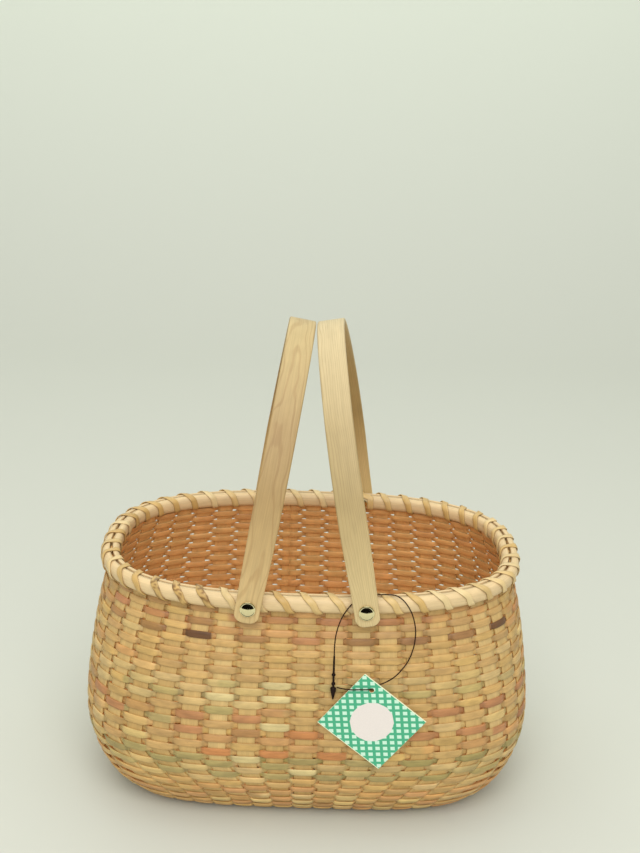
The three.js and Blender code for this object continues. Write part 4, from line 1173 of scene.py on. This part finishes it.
class BASKET_OT_handles(bpy.types.Operator):
    """Bends the two handles, which lean on each other at rest"""

    bl_idname = "basket.handles"
    bl_label = "Handles"

    def execute(self, context):
        # steam-bent ash, sanded and left bare: pale, with long growth rings and open pores
        material = fibre_material(
            "bent_ash_handle", fibre=0.42, run=34.0, contrast=0.14, blotch=0.05, speck=0.12, roughness=0.5,
            relief=0.05, bands=0.22,
        )
        edge = context.scene.basket_sizes.handle_edge / MM
        pivot_x = node_middle("rivet_front_right")
        lean = math.asin((pivot_x - 0.2) / math.hypot(HANDLE_RISE, HANDLE_WIDTH / 2)) - math.atan2(
            HANDLE_WIDTH / 2, HANDLE_RISE
        )
        for name, side, grain, twist, tones in HANDLES:
            line, out, half = self.path()
            across = np.tile(np.array([1.0, 0.0, 0.0]), (len(line), 1))
            half = half - TAPER * np.clip(1 - line[:, 2] / TAPER_HEIGHT, 0, 1)
            section = np.array([self.outline(half_width, edge) for half_width in half])
            rings = sweep(line, across, out, section)
            # steamed by hand, each arch has its own slight twist: the front leg stands a little to the left
            rise = np.clip((rings[..., 2] - TWIST_FROM) / (TWIST_TO - TWIST_FROM), 0, 1)
            rings[..., 0] += ease(rise, twist) * rings[..., 1] / HANDLE_OUTER
            turn = np.array(Matrix.Rotation(-side * lean, 3, "Y"))
            points = rings.reshape(-1, 3) @ turn.T + np.array([side * pivot_x, 0, PIVOT_Z])
            strip = strip_places(line, section[..., 0] + grain, section[..., 1] * 0.3 + side * 31.0)
            tones = np.array([linear(c) for c in tones])
            tint = np.ones((*rings.shape[:2], 4))
            # painted light and shade: the tone changes with height along the handle
            for k in range(3):
                tint[..., k] = np.interp(line[:, 2], LIGHT_AND_SHADE_HEIGHTS, tones[:, k])[:, None]
            # painted shade on the inner face
            tint[:, INNER_FACE, :3] *= PAINTED_INNER_SHADE
            faces = tube_faces(len(rings), rings.shape[1])
            make_piece(
                f"handle_{name}_bent", points, faces, material, [f"handle_{name}"],
                body=f"{name}_handle", strip=strip, tint=tint,
            )
        return {"FINISHED"}

    def outline(self, half_width, edge):
        """The strip's rounded outline, as (across, out) pairs. The last ten points are its inner face."""
        side, inner = half_width - edge, -HANDLE_THICKNESS + edge
        ring = []
        for cx, cy, start in ((side, -edge, 0), (-side, -edge, 90), (-side, inner, 180), (side, inner, 270)):
            for a in (0, 22.5, 45, 67.5, 90):
                t = math.radians(start + a)
                ring.append((cx + edge * math.cos(t), cy + edge * math.sin(t)))
        return ring

    def path(self):
        """The outer face's middle line in the handle's upright plane, its outward direction, and half the
        width at each place."""
        full = HANDLE_WIDTH / 2
        rows = []  # place along Y and Z, direction along Y and Z, half the width
        for step in range(9):
            a = math.pi / 2 * step / 8
            height = -HANDLE_TAIL + TAIL_ROUNDING * (1 - math.cos(a))
            rows.append((-HANDLE_OUTER, height, -1, 0, full - TAIL_ROUNDING * (1 - math.sin(a)) + 0.001))
        for z in np.linspace(-HANDLE_TAIL + TAIL_ROUNDING, ARCH_START, 12)[1:]:
            rows.append((-HANDLE_OUTER, z, -1, 0, full))
        leg = rows[::-1]
        n, rise = ARCH_SQUARENESS, HANDLE_RISE - ARCH_START
        for step in range(1, ARCH_STEPS):
            a = math.pi * step / ARCH_STEPS
            y = -HANDLE_OUTER * math.copysign(abs(math.cos(a)) ** (2 / n), math.cos(a))
            z = ARCH_START + rise * abs(math.sin(a)) ** (2 / n)
            ny = math.copysign(abs(y / HANDLE_OUTER) ** (n - 1), y) / HANDLE_OUTER
            nz = abs((z - ARCH_START) / rise) ** (n - 1) / rise
            size = math.hypot(ny, nz)
            rows.append((y, z, ny / size, nz / size, full))
        rows += [(-y, z, -ny, nz, width) for y, z, ny, nz, width in leg]
        y, z, ny, nz, half = np.array(rows).T
        return np.stack([0 * y, y, z], -1), np.stack([0 * y, ny, nz], -1), half


# Radius, and height over the handle's face or out from the washer's inner end.
CAP_OUTLINE = [
    (3.9, 0.05), (4.22, 0.12), (4.36, 0.35), (4.36, 0.6), (4.26, 0.8), (4.08, 0.92), (3.86, 0.95),
    (3.68, 0.9), (3.56, 0.86), (3.4, 0.9), (3.1, 1.02), (2.7, 1.17), (2.2, 1.31), (1.6, 1.43), (1.0, 1.51),
    (0.5, 1.56), (0.0, 1.57),
]
CAP_HEIGHT, SHANK_RADIUS, CAP_UNDERSIDE, RIVET_SIDES = 1.6, 1.6, 0.05, 40
WASHER_OUTLINE = [
    (0.0, 0.0), (0.7, 0.04), (1.25, 0.2), (1.45, 0.5), (1.5, 0.72), (1.7, 0.8), (2.4, 0.86), (2.85, 1.05),
    (3.0, 1.3),
]
WASHER_RADIUS = 3.0


class BASKET_OT_rivets(bpy.types.Operator):
    """Sets the four brass rivets and the washers that clinch them inside the rim"""

    bl_idname = "basket.rivets"
    bl_label = "Rivets"

    def execute(self, context):
        # stamped brass, bright plated: a domed cap inside a rolled rim
        material, tree, shader = new_material("stamped_brass_rivet")
        place = add_node(tree, "Attribute", out="Vector", attribute_name="strip")
        scuffs = add_node(tree, "TexNoise", {"Vector": place, "Scale": 1.4, "Detail": 5.0}, "Fac")
        brass = {0: scuffs, 6: opaque("#e6d7a0"), 7: opaque("#f3eac4")}
        brass = add_node(tree, "Mix", brass, 2, data_type="RGBA")
        rough = add_node(tree, "MapRange", [scuffs, 0.3, 0.7, 0.06, 0.12])
        set_inputs(tree, shader, {"Base Color": brass, "Roughness": rough, "Metallic": 1.0})
        for row, facing in (("front", -1), ("rear", 1)):
            for end in ("left", "right"):
                rivet, clinch = f"rivet_{row}_{end}", f"clinch_{row}_{end}"
                centre_x = node_middle(rivet)
                shank, tip = sorted(abs(corner[1]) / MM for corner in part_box(rivet))
                under = tip - CAP_HEIGHT
                cap = [(0.0, shank), (SHANK_RADIUS, shank), (SHANK_RADIUS, CAP_UNDERSIDE + under)]
                cap += [(radius, height + under) for radius, height in CAP_OUTLINE]
                near_y, far_y = sorted(abs(corner[1]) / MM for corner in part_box(clinch))
                washer = [(radius, near_y + height) for radius, height in WASHER_OUTLINE]
                washer += [(WASHER_RADIUS, far_y), (0.0, far_y)]
                self.turn(f"rivet_cap_{row}_{end}", cap, centre_x, facing, material, rivet)
                self.turn(f"washer_{row}_{end}", washer, centre_x, facing, material, clinch)
        return {"FINISHED"}

    def turn(self, name, outline, centre_x, facing, material, node):
        """Turns one form, with its axis along Y, away from the middle of the basket."""
        points, faces = lathe(outline, RIVET_SIDES)
        x, y, z = points.T
        placed = np.stack([centre_x + x, facing * z, PIVOT_Z + facing * -y], -1)
        make_piece(name, placed, faces, material, [node], strip=points)


# ---------------------------------------------------------------- the panel, and how it all runs


class BASKET_PT_panel(bpy.types.Panel):
    bl_label = "Basket"
    bl_idname = "BASKET_PT_panel"
    bl_space_type = "VIEW_3D"
    bl_region_type = "UI"
    bl_category = "Basket"

    def draw(self, context):
        for operator in STEPS:
            self.layout.operator(operator.bl_idname)
        for group in (context.scene.basket_sizes, context.scene.basket_colours):
            box = self.layout.box()
            for key in type(group).__annotations__:
                box.prop(group, key)


STEPS = (
    BASKET_OT_camera,
    BASKET_OT_tag,
    BASKET_OT_stakes,
    BASKET_OT_weavers,
    BASKET_OT_hoops,
    BASKET_OT_lashing,
    BASKET_OT_handles,
    BASKET_OT_rivets,
    BASKET_OT_stage,
)
CLASSES = (BasketSizes, BasketColours, *STEPS, BASKET_PT_panel)


def register():
    for cls in CLASSES:
        bpy.utils.register_class(cls)
    bpy.types.Scene.basket_sizes = bpy.props.PointerProperty(type=BasketSizes)
    bpy.types.Scene.basket_colours = bpy.props.PointerProperty(type=BasketColours)


def unregister():
    del bpy.types.Scene.basket_colours
    del bpy.types.Scene.basket_sizes
    for cls in reversed(CLASSES):
        bpy.utils.unregister_class(cls)


def main():
    register()
    for step in STEPS:
        group, name = step.bl_idname.split(".")
        getattr(getattr(bpy.ops, group), name)()


if __name__ == "__main__":
    main()
